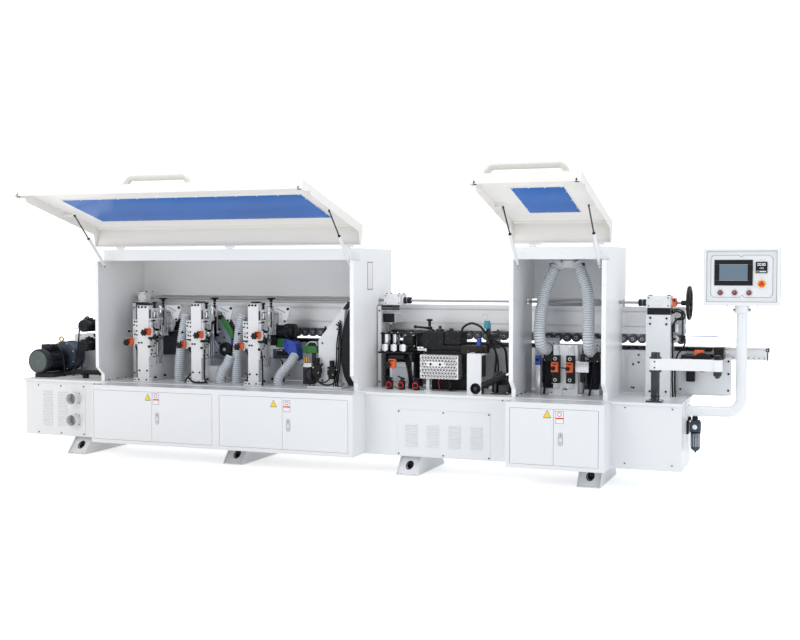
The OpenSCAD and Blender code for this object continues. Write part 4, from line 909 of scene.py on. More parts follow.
# two small pressure regulators before the pedestal: x, z, scale
for x, z, scale in ((-0.836, 0.742, 1.0), (-0.713, 0.730, 0.92)):
    black = piece("end_trim_regulators", "blk")
    box(black, (x, 0.165, z), (0.070 * scale, 0.040, 0.070 * scale), 0.006, seg=3)
    box(black, (x, 0.165, z - 0.050 * scale), (0.052 * scale, 0.036, 0.036 * scale),
        0.005, seg=3)
    cyl(black, (x, 0.165, z + 0.030 * scale), UP, 0.040 * scale, 0.019 * scale, 0.003)
    lathe(black, (x, 0.165, z + 0.060 * scale), UP,
          [(0, 0), (0, 0.021 * scale), (0.022, 0.021 * scale), (0.025, 0.018 * scale),
           (0.026, 0)], 24)
    cyls(piece("end_trim_regulators", "brass"),
         ((x - 0.024, 0.148, z + 0.012), FRONT, 0.008, 0.006),
         ((x + 0.018, 0.148, z - 0.028), FRONT, 0.008, 0.005))
    cyl(piece("end_trim_regulators", "steel"), (x + 0.034 * scale, 0.165, z + 0.01), RIGHT,
        0.014, 0.006)
    block(black, x - 0.010, x + 0.010, 0.180, 0.205, z - 0.020, z + 0.020, 0.002)
cables = piece("loose_cables", "blk")
for x, z, radius in ((-0.880, 0.7, 0.050), (-0.872, 0.690, 0.058)):
    torus(cables, (x, 0.150, z), (0.1, -1, 0.1), radius, 0.0055, 44, 8, 1.05)
sweep(cables, [(-0.850, 0.160, 0.665), (-0.8, 0.150, 0.632), (-0.740, 0.145, 0.622),
               (-0.690, 0.150, 0.640), (-0.655, 0.160, 0.7), (-0.650, 0.175, 0.790)], 0.006)
sweep(cables, [(-0.836, 0.150, 0.690), (-0.815, 0.140, 0.650), (-0.770, 0.135, 0.640),
               (-0.725, 0.140, 0.665), (-0.713, 0.150, 0.690)], 0.005)
for gap in (0.0, 0.014, 0.030):
    sweep(cables, [(-0.655 - gap, 0.188, 1.118 - gap), (-0.640 - gap * 0.6, 0.178, 1.060),
                   (-0.648 - gap, 0.182, 0.940), (-0.652 - gap, 0.180, 0.8),
                   (-0.660 - gap, 0.170, 0.690), (-0.668 - gap, 0.160, 0.612)], 0.0055)
block(piece("end_trim_pedestal", "cast_white"),
      -0.6535, -0.645, 0.205, 0.275, 0.7, 0.860, 0.002)
cyl(piece("end_trim_pedestal", "chrome"), (-0.648, 0.240, 0.880), UP, 0.150, 0.009)
# brass valve block behind the pedestal
brass = piece("end_trim_valves", "brass")
for k in range(3):
    cyl(brass, (-1.028 + 0.020 * k, 0.345, 0.765), UP, 0.050, 0.007)
    hex_head(brass, (-1.028 + 0.020 * k, 0.345, 0.782), UP, 0.010, 0.008)
block(piece("end_trim_valves", "steel"), -1.050, -0.965, 0.335, 0.375, 0.735, 0.768, 0.004)
block(piece("end_trim_valves", "dsteel"), -1.042, -0.975, 0.342, 0.372, 0.601, 0.735, 0.003)

# ------------------------------------------------------------------ extraction hoses
HOSES = [  # name, points along the middle, radius
    ("hose_1", [(-2.135, 0.290, 0.6005), (-2.138, 0.291, 0.680), (-2.128, 0.294, 0.8),
                (-2.118, 0.305, 0.930), (-2.106, 0.318, 1.040), (-2.092, 0.338, 1.140)],
     0.040),
    ("hose_2", [(-1.606, 0.290, 0.6005), (-1.606, 0.290, 0.7), (-1.6, 0.294, 0.840),
                (-1.592, 0.304, 0.980), (-1.580, 0.320, 1.090), (-1.570, 0.336, 1.140)],
     0.040),
    ("hose_3", [(-1.716, 0.222, 0.6005), (-1.715, 0.222, 0.640), (-1.695, 0.228, 0.7),
                (-1.660, 0.240, 0.760), (-1.640, 0.252, 0.815)], 0.038),
    ("hose_4", [(-1.2, 0.222, 0.6005), (-1.199, 0.222, 0.640), (-1.180, 0.230, 0.690),
                (-1.140, 0.250, 0.742), (-1.115, 0.285, 0.785), (-1.112, 0.335, 0.822)],
     0.037),
    ("hose_5", [(0.992, 0.345, 1.535), (0.955, 0.330, 1.450), (0.922, 0.305, 1.350),
                (0.908, 0.270, 1.240), (0.904, 0.230, 1.140), (0.906, 0.202, 1.050),
                (0.912, 0.205, 0.985), (0.924, 0.245, 0.942), (0.936, 0.310, 0.930)], 0.043),
    ("hose_6", [(1.160, 0.345, 1.530), (1.196, 0.328, 1.450), (1.232, 0.3, 1.350),
                (1.250, 0.262, 1.240), (1.258, 0.225, 1.140), (1.262, 0.202, 1.040),
                (1.264, 0.205, 0.978), (1.262, 0.245, 0.936), (1.256, 0.310, 0.922)], 0.043),
]
for name, points, radius in HOSES:
    hose(piece(name, "hose"), points, radius)
    # support wire rings at the rib pitch, kept clear of both ends
    curve = curve_points(points, 14)
    start, end = Vector(points[0]), Vector(points[-1])
    wire, run = piece(name + "_wire", "hosewire"), 0.0
    for a, b in zip(curve, curve[1:]):
        length = (b - a).length
        while run <= length:
            spot = a.lerp(b, run / length)
            if (spot - start).length > 0.012 and (spot - end).length > 0.010:
                torus(wire, spot, b - a, radius - 0.0030, 0.0024, 28, 6)
            run += HOSE_PITCH
        run -= length
    if name in ("hose_1", "hose_2", "hose_3", "hose_4"):
        torus(piece(name, "greylight"), (points[0][0], points[0][1], 0.604), UP,
              radius + 0.003, 0.0045, 36, 8)
for name, points, radius in HOSES[4:]:
    x, y, z = Vector(points[-1])
    curve = curve_points(points, 14)
    clamp = piece(name + "_clamp", "zinc")
    torus(clamp, curve[4], curve[5] - curve[4], 0.0445, 0.0028, 40, 8)
    torus(clamp, curve[-5], curve[-4] - curve[-5], 0.0445, 0.0028, 40, 8)
    # hood over the cutter with its round mouth
    white = piece(name + "_hood", "cast_white")
    cyl(white, (x, y - 0.012, z), (0, 1, -0.1), 0.060, 0.050, 0.003, 36)
    box(white, (x, 0.375, z - 0.006), (0.115, 0.090, 0.125), 0.008, seg=3)
    black = piece(name + "_hood", "blk")
    torus(black, (x, y - 0.014, z), (0, 1, -0.1), 0.0478, 0.0028, 36, 8)
    bolts(black, FRONT, 0.005, [(x + s, 0.330, z + 0.040) for s in (-0.046, 0.046)])
# duct above the second hood: rim rings, spigots and small blocks
rings = piece("duct_trim", "dsteel")
torus(rings, (1.080, 0.4, 1.655), UP, 0.0625, 0.004, 44, 8)
torus(rings, (1.080, 0.4, 1.575), UP, 0.0625, 0.0022, 44, 8)
cyls(piece("duct_trim", "white"),
     ((1.012, 0.370, 1.560), (-0.38, -0.12, -0.92), 0.045, 0.043, 0.002, 32),
     ((1.148, 0.370, 1.560), (0.38, -0.12, -0.92), 0.045, 0.043, 0.002, 32))
for x in (0.990 - 0.030, 1.165 + 0.030):
    box(piece("duct_trim", "blk"), (x, 0.330, 1.545), (0.024, 0.020, 0.018), 0.003)

# ------------------------------------------------------------------ pre-milling unit
for x in (1.026, 1.133):
    block(piece("pre_mill_plates", "castblk"),
          x - 0.031, x + 0.031, 0.198, 0.232, 0.692, 0.892, 0.003)
    counter("pre_mill_counter_%d" % round(x * 1000), x - 0.003, 0.2, 0.806,
            knob_radius=0.015, width=0.052, height=0.072, star=False, knob_shift=-0.004)
    for z in (0.868, 0.716):
        torus(piece("pre_mill_plates", "cast_white"), (x - 0.003, 0.1965, z), FRONT,
              0.010, 0.0028, 24, 8)
        bolt(piece("pre_mill_plates", "blk"), (x - 0.003, 0.198, z), FRONT, 0.0072)
    block(piece("pre_mill_plates", "steel"),
          x - 0.020, x + 0.020, 0.230, 0.250, 0.650, 0.960, 0.002)
cyl(piece("pre_mill_plates", "blk"), (1.045, 0.190, 0.803), RIGHT, 0.055, 0.004)
pedestal = piece("pre_mill_pedestal", "cast_white")
slab(pedestal, [(0.998, TABLE_Z), (0.998, 0.950), (1.180, 0.950), (1.180, TABLE_Z),
                (1.106, TABLE_Z), (1.106, 0.632)]
     + arc(1.086, 0.632, 0.020, 0, 180, 12) + [(1.066, TABLE_Z)], 0.250, 0.3, 0.003)
blocks(pedestal, (0.985, 1.195, 0.3, 0.470, TABLE_Z, 0.960, 0.004),
       (0.970, 1.210, 0.245, 0.470, TABLE_Z, 0.612, 0.003))
bolts(piece("pre_mill_pedestal", "blk"), UP, 0.006,
      [(0.980, 0.262, 0.612), (1.2, 0.262, 0.612)])
rack = piece("pre_mill_rack", "steel")
block(rack, 1.164, 1.262, 0.215, 0.240, 0.772, 0.850, 0.003)
for k in range(9):
    x = 1.168 + k * 0.0105
    block(rack, x, x + 0.005, 0.209, 0.216, 0.776, 0.846, 0.0008)
block(piece("pre_mill_rack", "blk"), 1.196, 1.228, 0.236, 0.260, 0.7, 0.9, 0.003)
# two milling motors with their connector boxes: motor x, connector x
for x, plug_x in ((0.930, 0.950), (1.262, 1.284)):
    name = "mill_motor_%d" % round(x * 1000)
    motor = piece(name, "motor_grey")
    cyl(motor, (x, 0.4, 0.640), UP, 0.3, 0.044, 0.004, 36)
    box_ring(motor, (x, 0.4, 0.790), 0.0465, 20, (0.006, 0.0022, 0.230), 0.0006, upright=True)
    cyl(motor, (x, 0.4, 0.918), UP, 0.024, 0.052, 0.003, 36)
    block(piece(name, "cast_white"),
          x - 0.055, x + 0.055, 0.330, 0.470, TABLE_Z, 0.640, 0.004)
    black = piece(name, "blk")
    blocks(black, (plug_x - 0.034, plug_x + 0.036, 0.285, 0.350, 0.838, 0.912, 0.005, 3),
           (plug_x - 0.037, plug_x + 0.039, 0.281, 0.352, 0.9, 0.915, 0.003))
    bolts(piece(name, "zinc"), FRONT, 0.0035,
          [(plug_x - 0.026, 0.285, 0.850), (plug_x + 0.028, 0.285, 0.850)])
    cyl(black, (plug_x - 0.012, 0.318, 0.838), DOWN, 0.022, 0.010)
    sweep(piece("mill_cable_%d" % round(x * 1000), "blk"),
          [(plug_x - 0.012, 0.318, 0.822), (plug_x - 0.012, 0.316, 0.760),
           (plug_x - 0.020, 0.310, 0.690), (plug_x - 0.034, 0.302, CABLE_Z)], 0.0085, 12)
block(piece("pre_mill_switch", "blue"), 0.852, 0.893, 0.290, 0.330, 0.812, 0.880, 0.004, 3)
block(piece("pre_mill_switch", "steel"), 0.856, 0.890, 0.3, 0.330, TABLE_Z, 0.812, 0.002)
cyl(piece("pre_mill_switch", "blk"), (0.872, 0.290, 0.850), FRONT, 0.012, 0.011)

# ------------------------------------------------------------------ press bracket and rollers
blocks(piece("press_plates", "castblk"),
       (-0.386, -0.1, 0.3, 0.5, 0.864, 0.880, 0.003),
       (-0.386, -0.090, 0.470, 0.5, TABLE_Z, 0.864, 0.003),
       (-0.388, -0.090, 0.360, 0.6, 0.882, 0.898, 0.003),
       (-0.388, -0.090, 0.360, 0.6, 1.010, 1.022, 0.003),
       (-0.102, -0.090, 0.380, 0.5, 0.898, 1.010, 0.002),
       (-0.2, -0.120, 0.362, 0.4, 0.925, 1.0, 0.004),
       (-0.388, -0.376, 0.380, 0.6, 0.898, 1.010, 0.002))
PRESS_BOLTS = (-0.350, -0.3, -0.250, -0.140)
bolts(piece("press_plates", "zinc"), UP, 0.006, [(x, 0.372, 1.022) for x in PRESS_BOLTS])
bolts(piece("press_plates", "dsteel"), FRONT, 0.004, [(x, 0.360, 0.890) for x in PRESS_BOLTS])
for x, radius in ((-0.330, 0.028), (-0.258, 0.028), (-0.182, 0.032)):
    cyl(piece("press_discs", "steel"), (x, 0.315, 0.880), UP, 0.008, radius * 0.5)
    lathe(piece("press_discs", "chrome"), (x, 0.315, 0.888), UP,
          [(0, 0), (0, radius - 0.001), (0.001, radius), (0.046, radius),
           (0.047, radius - 0.001), (0.047, radius * 0.45), (0.050, radius * 0.45),
           (0.050, 0)], 40)
    bolt(piece("press_discs", "blk"), (x, 0.315, 0.938), UP, 0.007)
for x in (-0.250, -0.180):
    lathe(piece("press_small_rollers", "chrome"), (x, 0.555, 0.904), UP,
          [(0, 0), (0, 0.0255), (0.001, 0.0268), (0.098, 0.0268), (0.099, 0.0255),
           (0.099, 0)], 40)
    cyl(piece("press_small_rollers", "dsteel"), (x, 0.555, 0.898), UP, 0.112, 0.008)
axle = piece("press_axle", "dsteel")
cyl(axle, (-0.330, 0.545, 0.898), UP, 0.112, 0.0099)
hex_head(axle, (-0.330, 0.545, 1.022), UP, 0.015, 0.010)
# the two rollers at the front of the station
for x, radius in ((-0.366, 0.030), (-0.292, 0.020)):
    lathe(piece("press_front_rollers", "chrome"), (x, 0.430, 0.925), UP,
          [(0, 0), (0, radius - 0.001), (0.001, radius), (0.082, radius),
           (0.083, radius - 0.001), (0.083, 0)], 40)
    cyl(piece("press_front_rollers", "dsteel"), (x, 0.430, 0.898), UP, 0.112, 0.007)
cyl(piece("press_front_rollers", "zinc"), (-0.165, 0.430, 0.940), UP, 0.050, 0.024, 0.002, 36)
lathe(piece("press_roller_skin", "chrome", "presser"), (-0.330, 0.545, 0.89805), UP,
      [(0.0005, 0.0102), (0.0005, 0.036), (0.002, 0.0378), (0.1098, 0.0378),
       (0.1114, 0.036), (0.1114, 0.0102), (0.0005, 0.0102)], 56)
counter("press_counter", -0.244, 0.250, 0.792, knob_radius=0.031, width=0.055,
        height=0.070, knob_shift=-0.022)
block(piece("press_counter", "blk"), -0.276, -0.156, 0.244, 0.330, 0.832, 0.856, 0.003)
block(piece("press_counter", "dsteel"), -0.150, -0.120, 0.330, 0.470, TABLE_Z, 0.864, 0.003)
block(piece("press_panel", "greylight"), -0.280, -0.120, 0.322, 0.332, 0.640, 0.760, 0.003)
block(piece("press_panel", "white"), -0.3, -0.110, 0.332, 0.350, TABLE_Z, 0.8, 0.003)
bolts(piece("press_panel", "dsteel"), FRONT, 0.004,
      [(x, 0.322, z) for z in (0.650, 0.750) for x in (-0.270, -0.130)])
for gap in (0, 0.020):
    sweep(piece("press_cables", "blk"),
          [(-0.228 + gap, 0.350, 0.930), (-0.205 + gap, 0.335, 0.880),
           (-0.160 + gap, 0.318, 0.8), (-0.138 + gap, 0.312, 0.720),
           (-0.130 + gap, 0.318, 0.650), (-0.126 + gap, 0.330, CABLE_Z)], 0.0095, 12)

# ------------------------------------------------------------------ glue pot and its fittings
pot = piece("glue_pot_body", "castblk")
box(pot, (0.060, 0.385, 0.982), (0.170, 0.168, 0.115), 0.006, seg=3)
box(pot, (0.215, 0.385, 0.988), (0.132, 0.160, 0.088), 0.006, seg=3)
blocks(pot, (-0.030, 0.470, 0.302, 0.468, 0.905, 0.938, 0.006, 3),
       (-0.010, 0.430, 0.322, 0.458, 0.7, 0.905, 0.006, 3),
       (0.040, 0.380, 0.332, 0.448, TABLE_Z, 0.7, 0.004),
       (0.150, 0.290, 0.310, 0.460, 1.030, 1.040, 0.003))
pot_end = piece("glue_pot_end", "brownblk")
blocks(pot_end, (0.3, 0.470, 0.242, 0.304, 0.880, 0.944, 0.006, 3),
       (0.440, 0.5, 0.250, 0.320, 0.888, 0.940, 0.006, 3))
cyl(pot_end, (0.5, 0.285, 0.915), LEFT, 0.02, 0.020)
fittings = piece("glue_pot_fittings", "steel")
for x, z in ((-0.050, 0.910), (-0.018, 0.912), (0.006, 0.9)):
    cyl(fittings, (x, 0.302, z), FRONT, 0.014, 0.011)
    hex_head(fittings, (x, 0.288, z), FRONT, 0.008, 0.006)
block(fittings, -0.066, 0.014, 0.302, 0.322, 0.894, 0.922, 0.003)
dark = piece("glue_pot_fittings", "dsteel")
bolts(dark, FRONT, 0.008, [(x, 0.301, 0.965) for x in (0.020, 0.120)])
bolts(dark, UP, 0.009, [(x, 0.330, 1.040) for x in (0.170, 0.220, 0.270)])
bolts(dark, FRONT, 0.007, [(x, 0.304, 0.990) for x in (0.180, 0.265)])
# valve lever with its T knob
valve = piece("glue_valve", "blk")
cyl(valve, (0.006, 0.380, 1.075), UP, 0.036, 0.011)
cyl(piece("glue_valve", "steel"), (0.006, 0.380, 1.040), UP, 0.036, 0.010)
lathe(valve, (0.006, 0.380, 1.104), UP,
      [(0, 0), (0, 0.008), (0.010, 0.012), (0.014, 0.023), (0.022, 0.025), (0.028, 0.019),
       (0.030, 0)], 24)
cyls(valve, ((0.002, 0.380, 1.062), (-1, -0.35, 0.10), 0.105, 0.0085, 0.003),
     ((0.010, 0.380, 1.062), (1, -0.35, -0.55), 0.075, 0.0085, 0.003),
     ((0.006, 0.380, 1.052), UP, 0.022, 0.020, 0.003))
ball(valve, (-0.096, 0.346, 1.072), 0.013)
cap = piece("glue_cap", "dsteel")
lathe(cap, (0.090, 0.380, 1.040), UP,
      [(0, 0), (0, 0.030), (0.014, 0.030), (0.018, 0.026), (0.018, 0.012), (0.040, 0.012),
       (0.042, 0.010), (0.042, 0)], 30)
lathe(cap, (0.180, 0.380, 1.038), UP,
      [(0, 0), (0, 0.016), (0.024, 0.016), (0.026, 0.012), (0.026, 0)], 24)
# applicator arm, axle and roller
arm = piece("glue_arm", "dsteel")
ROLLER_X, ROLLER_Y = 0.495, 0.560
blocks(arm, (0.470, 0.520, 0.320, 0.530, 0.925, 1.030, 0.004),
       (0.470, 0.520, 0.480, 0.590, 0.913, 0.925, 0.002),
       (0.470, 0.520, 0.480, 0.590, 1.030, 1.042, 0.002))
cyl(arm, (ROLLER_X, ROLLER_Y, 0.913), UP, 0.129, 0.0069)
hex_head(arm, (ROLLER_X, ROLLER_Y, 1.042), UP, 0.011, 0.008)
roller = piece("glue_roller_skin", "steel", "gluer")
lathe(roller, (ROLLER_X, ROLLER_Y, 0.92505), UP,
      [(0.0005, 0.0073), (0.0005, 0.022), (0.002, 0.0238), (0.1025, 0.0238),
       (0.1042, 0.022), (0.1042, 0.0073), (0.0005, 0.0073)], 48)
for k in range(24):
    torus(roller, (ROLLER_X, ROLLER_Y, 0.930 + 0.004 * k), UP, 0.0236, 0.0006, 40, 5)
# switch with a wire ring, small blue valve
blocks(piece("glue_switch", "teal"), (0.476, 0.512, 0.250, 0.290, 1.072, 1.130, 0.004, 3),
       (0.480, 0.508, 0.246, 0.252, 1.080, 1.108, 0.002))
block(piece("glue_switch", "dsteel"), 0.484, 0.506, 0.290, 0.330, 0.960, 1.110, 0.002)
torus(piece("glue_switch", "steel"), (0.478, 0.268, 1.156), FRONT, 0.020, 0.0018, 28, 6, 1.2)
block(piece("glue_switch", "blue"), 0.420, 0.448, 0.246, 0.290, 0.945, 0.996, 0.004, 3)
cables = piece("glue_cables", "blk")
sweep(cables, [(0.287, 0.305, 1.030), (0.3, 0.3, 1.075), (0.364, 0.290, 1.108),
               (0.430, 0.285, 1.090), (0.460, 0.290, 1.057), (0.508, 0.290, 1.0),
               (0.555, 0.295, 0.893), (0.552, 0.3, 0.790), (0.540, 0.3, 0.7),
               (0.530, 0.3, CABLE_Z)], 0.0085, 12)
sweep(cables, [(0.508, 0.292, 1.004), (0.560, 0.3, 0.975), (0.620, 0.310, 0.952),
               (0.655, 0.330, 0.935)], 0.0085, 12)
sweep(cables, [(0.494, 0.270, 1.072), (0.5, 0.262, 1.020), (0.520, 0.270, 0.960),
               (0.565, 0.285, 0.880), (0.575, 0.290, 0.760), (0.560, 0.290, 0.650),
               (0.556, 0.295, CABLE_Z)], 0.006)
sweep(cables, [(0.620, 0.420, CABLE_Z), (0.615, 0.415, 0.7), (0.608, 0.405, 0.8),
               (0.6, 0.4, 0.9), (0.560, 0.4, 0.960)], 0.009, 12)
sweep(cables, [(0.635, 0.4, CABLE_Z), (0.640, 0.395, 0.720), (0.655, 0.380, 0.860),
               (0.660, 0.340, 0.935)], 0.008, 12)
# mounting bracket beside the guard, and the swing cylinder
blocks(piece("glue_bracket", "white"), (0.361, 0.372, 0.2, 0.3, TABLE_Z, 0.880, 0.002),
       (0.361, 0.430, 0.2, 0.210, TABLE_Z, 0.880, 0.002),
       (0.361, 0.490, 0.198, 0.3, 0.878, 0.888, 0.002))
bolts(piece("glue_bracket", "blk"), FRONT, 0.009, [(0.396, 0.2, 0.848), (0.396, 0.2, 0.753)])
CYLINDER_AXIS = (0.90, 0.12, 0.42)
cylinder = piece("swing_cylinder", "castblk")
cyls(cylinder, ((0.462, 0.120, 0.643), CYLINDER_AXIS, 0.235, 0.0235, 0.003, 36),
     ((0.457, 0.1, 0.641), BACK, 0.050, 0.043, 0.005, 40))
torus(cylinder, (0.457, 0.1, 0.641), FRONT, 0.036, 0.004, 36, 8)
cyl(piece("swing_cylinder", "dsteel"), (0.457, 0.1, 0.641), FRONT, 0.008, 0.015)
cyl(piece("swing_cylinder", "chrome"), (0.668, 0.148, 0.739), CYLINDER_AXIS, 0.030, 0.009)
block(piece("swing_cylinder", "dsteel"), 0.440, 0.474, 0.130, 0.162, TABLE_Z, 0.640, 0.003)
blocks(piece("swing_bracket", "dsteel"), (0.580, 0.6, 0.150, 0.320, TABLE_Z, 0.760, 0.003),
       (0.580, 0.690, 0.260, 0.320, TABLE_Z, 0.7, 0.004),
       (0.620, 0.676, 0.135, 0.260, TABLE_Z, 0.668, 0.004),
       (0.565, 0.690, 0.130, 0.330, TABLE_Z, 0.612, 0.002))
bolts(piece("swing_bracket", "zinc"), UP, 0.006,
      [(0.572, 0.140, 0.612), (0.684, 0.140, 0.612)])
small = piece("table_cylinder", "dsteel")
cyl(small, (0.430, 0.150, 0.660), RIGHT, 0.110, 0.022, 0.003, 32)
block(small, 0.470, 0.5, 0.130, 0.170, TABLE_Z, 0.645, 0.002)
# guard plate of the glue pot: plain patch, bolts, hexagonal mesh on front and side
block(piece("glue_guard_patch", "paper"), 0.050, 0.176, 0.1975, 0.2, 0.786, 0.818, 0.0008)
bolts(piece("glue_guard_patch", "blk"), FRONT, 0.0085,
      [(0.078, 0.1975, 0.802), (0.152, 0.1975, 0.802)])
MESH_PITCH, MESH_ROW, MESH_Z = 0.0256, 0.0215, 0.706
mesh = piece("glue_guard_mesh", "mesh_rim")


def mesh_step(row, column):
    """Alternate rows shift by half a pitch."""
    return column * MESH_PITCH + (row % 2) * MESH_PITCH / 2


for row in range(8):
    for column in range(12):
        x, z = 0.004 + mesh_step(row, column), MESH_Z + row * MESH_ROW
        behind_patch = 0.040 < x < 0.186 and 0.780 < z < 0.824
        if x <= 0.284 and not behind_patch:
            torus(mesh, (x, 0.1995, z), FRONT, 0.010, 0.0019, 6, 6)
for row in range(8):
    for column in range(3):
        torus(mesh, (0.2935, 0.222 + mesh_step(row, column), MESH_Z + row * MESH_ROW),
              RIGHT, 0.010, 0.0019, 6, 6)
blocks(piece("glue_post", "white"), (0.030, 0.055, 0.235, 0.262, 0.606, 0.695, 0.002),
       (0.015, 0.070, 0.220, 0.275, TABLE_Z, 0.607, 0.002))
sweep(piece("glue_wire", "red"),
      [(0.128, 0.250, 0.690), (0.124, 0.246, 0.660), (0.130, 0.246, 0.630),
       (0.131, 0.250, CABLE_Z)], 0.0028, 8)
cyl(piece("glue_tube", "blk"), (0.213, 0.260, TABLE_Z), UP, 0.092, 0.014, 0.002)
torus(piece("glue_tube", "blk"), (0.213, 0.260, 0.608), UP, 0.015, 0.003, 28, 8)

# black cover along the edge of the end trimming pedestal, (x, z) outline
slab(piece("end_trim_cover", "castblk"),
     [(-0.5382, 1.2614), (-0.5924, 1.1691), (-0.6302, 1.0459), (-0.6472, 0.9304),
      (-0.6451, 0.7997), (-0.6187, 0.6851), (-0.5814, 0.617), (-0.544, 0.6183),
      (-0.5477, 0.8177), (-0.5454, 1.0474)], 0.184, 0.1955, 0.002)

# ------------------------------------------------------------------ feed conveyor
PAD_COUNT, PAD_PITCH, PAD_START = 88, 0.060, -3.2
pads = piece("chain_pad_faces", "rubber", "feed_chain")
ribs = piece("chain_pad_ribs", "seal", "feed_chain")
links = piece("chain_links", "dsteel", "feed_chain")
for i in range(PAD_COUNT):
    x = PAD_START + i * PAD_PITCH
    block(pads, x + 0.002, x + 0.058, 0.606, 0.688, 0.930, 0.945, 0.004)
    for rib in (0.016, 0.030, 0.044):
        block(ribs, x + rib - 0.0035, x + rib + 0.0035, 0.6045, 0.606, 0.931, 0.943, 0.0005)
    block(links, x + 0.006, x + 0.054, 0.612, 0.682, 0.9172, 0.930, 0.002, 1)
    cyl(links, (x + 0.030, 0.641, 0.9172), BACK, 0.022, 0.0065, 0.001, 14)
WHEEL_COUNT, WHEEL_PITCH, WHEEL_START, WHEEL_Z = 65, 0.070, -2.625, 0.997
TYRE = [(0.003, 0.0150), (0.003, 0.0215), (0.0005, 0.0222), (0.0, 0.0235), (0.0, 0.0296),
        (0.0012, 0.0314), (0.0030, 0.0320), (0.0430, 0.0320), (0.0448, 0.0314),
        (0.0460, 0.0296), (0.0460, 0.0235), (0.050, 0.020), (0.050, 0.0150), (0.003, 0.0150)]
HUB = [(0.001, 0.0066), (0.001, 0.0130), (0.0022, 0.0140), (0.0045, 0.0150),
       (0.046, 0.0150), (0.046, 0.0066), (0.001, 0.0066)]
for i in range(WHEEL_COUNT):
    x = WHEEL_START + i * WHEEL_PITCH
    lathe(piece("press_wheel_tyres", "tyre", "beam"), (x, 0.608, WHEEL_Z), BACK, TYRE, 30)
    lathe(piece("press_wheel_hubs", "hub", "beam"), (x, 0.6085, WHEEL_Z), BACK, HUB, 22)
    hex_head(piece("press_wheel_bolts", "dsteel", "beam"), (x, 0.606, WHEEL_Z), FRONT,
             0.0078, 0.0045)
# screws along the conveyor face and rail
screws = piece("conveyor_bolts", "dsteel")
bolts(screws, FRONT, 0.006, [(-3.3 + i * 0.2, 0.620, 0.640) for i in range(28)])
bolts(screws, FRONT, 0.008,
      [(x, 0.620, z) for x, z in ((1.551, 0.880), (1.551, 0.826), (1.511, 0.811),
                                  (1.615, 0.811), (1.515, 0.638), (1.640, 0.640))])
slab(piece("end_cover", "white"),
     [(1.835, 0.6), (1.835, 0.884), (2.0, 0.884), (2.212, 0.872), (2.212, 0.606),
      (2.190, 0.6)], 0.607, 0.6195, 0.002)
bolts(piece("end_cover_bolts", "blk"), FRONT, 0.0075,
      [(x, 0.607, z) for x, z in ((2.191, 0.850), (2.192, 0.760), (2.191, 0.640),
                                  (1.855, 0.640), (1.855, 0.860))])
rail_end = piece("rail_end", "blk")
torus(rail_end, (2.452, 0.688, 0.930), FRONT, 0.010, 0.0035, 26, 8)
blocks(rail_end, (2.4565, 2.4640, 0.690, 0.744, 0.915, 0.946, 0.002),
       (2.4500, 2.4570, 0.690, 0.734, 0.856, 0.914, 0.002))
bolts(rail_end, FRONT, 0.004, [(2.215 + 0.036 * i, 0.692, 0.872) for i in range(7)])
block(piece("rail_strip", "steel"), 1.885, 2.455, 0.6885, 0.6925, 0.930, 0.936, 0.0008)

# infeed guide, fence blocks, wheel and spindle
blocks(piece("infeed_blocks", "blk"), (1.890, 2.170, 0.560, 0.6, 0.872, 0.9, 0.003),
       (1.876, 1.975, 0.440, 0.560, 0.873, 0.899, 0.004),
       (1.975, 2.034, 0.440, 0.560, 0.939, 0.957, 0.005, 3),
       (2.102, 2.171, 0.440, 0.560, 0.872, 0.958, 0.006, 3),
       (2.104, 2.169, 0.436, 0.442, 0.905, 0.925, 0.002))
block(piece("infeed_blocks", "orange"), 1.972, 2.032, 0.430, 0.470, 0.874, 0.9385, 0.006, 3)
dark = piece("infeed_blocks", "dsteel")
cyl(dark, (2.002, 0.430, 0.9), FRONT, 0.010, 0.013)
bolts(dark, FRONT, 0.003, [(1.984, 0.430, 0.925), (2.020, 0.430, 0.925)])
block(piece("infeed_blocks", "steel"), 1.9, 2.160, 0.5, 0.540, 0.862, 0.874, 0.003)
blocks(piece("infeed_blocks", "castblk"), (1.990, 2.050, 0.436, 0.6, 0.8, 0.872, 0.004),
       (1.9, 1.960, 0.560, 0.606, 0.7, 0.872, 0.004))
INFEED_WHEEL = (2.026, 0.420, 0.852)
wheel = piece("infeed_wheel", "blk")
lathe(wheel, INFEED_WHEEL, BACK,
      [(0, 0), (0, 0.020), (-0.004, 0.022), (-0.004, 0.056), (0, 0.060), (0, 0.066),
       (0.002, 0.068), (0.014, 0.068), (0.016, 0.066), (0.016, 0)], 44)
dark = piece("infeed_wheel", "dsteel")
box_ring(dark, (2.026, 0.428, 0.852), 0.066, 22, (0.005, 0.014, 0.007), 0.001)
hex_head(piece("infeed_wheel", "zinc"), (2.026, 0.418, 0.852), FRONT, 0.012, 0.010)
cyl(piece("infeed_wheel", "steel"), (2.134, 0.470, 0.872), DOWN, 0.085, 0.010)
cyl(wheel, (2.134, 0.470, 0.8), DOWN, 0.040, 0.024, 0.003)
hex_head(dark, (2.134, 0.470, 0.757), DOWN, 0.015, 0.010)

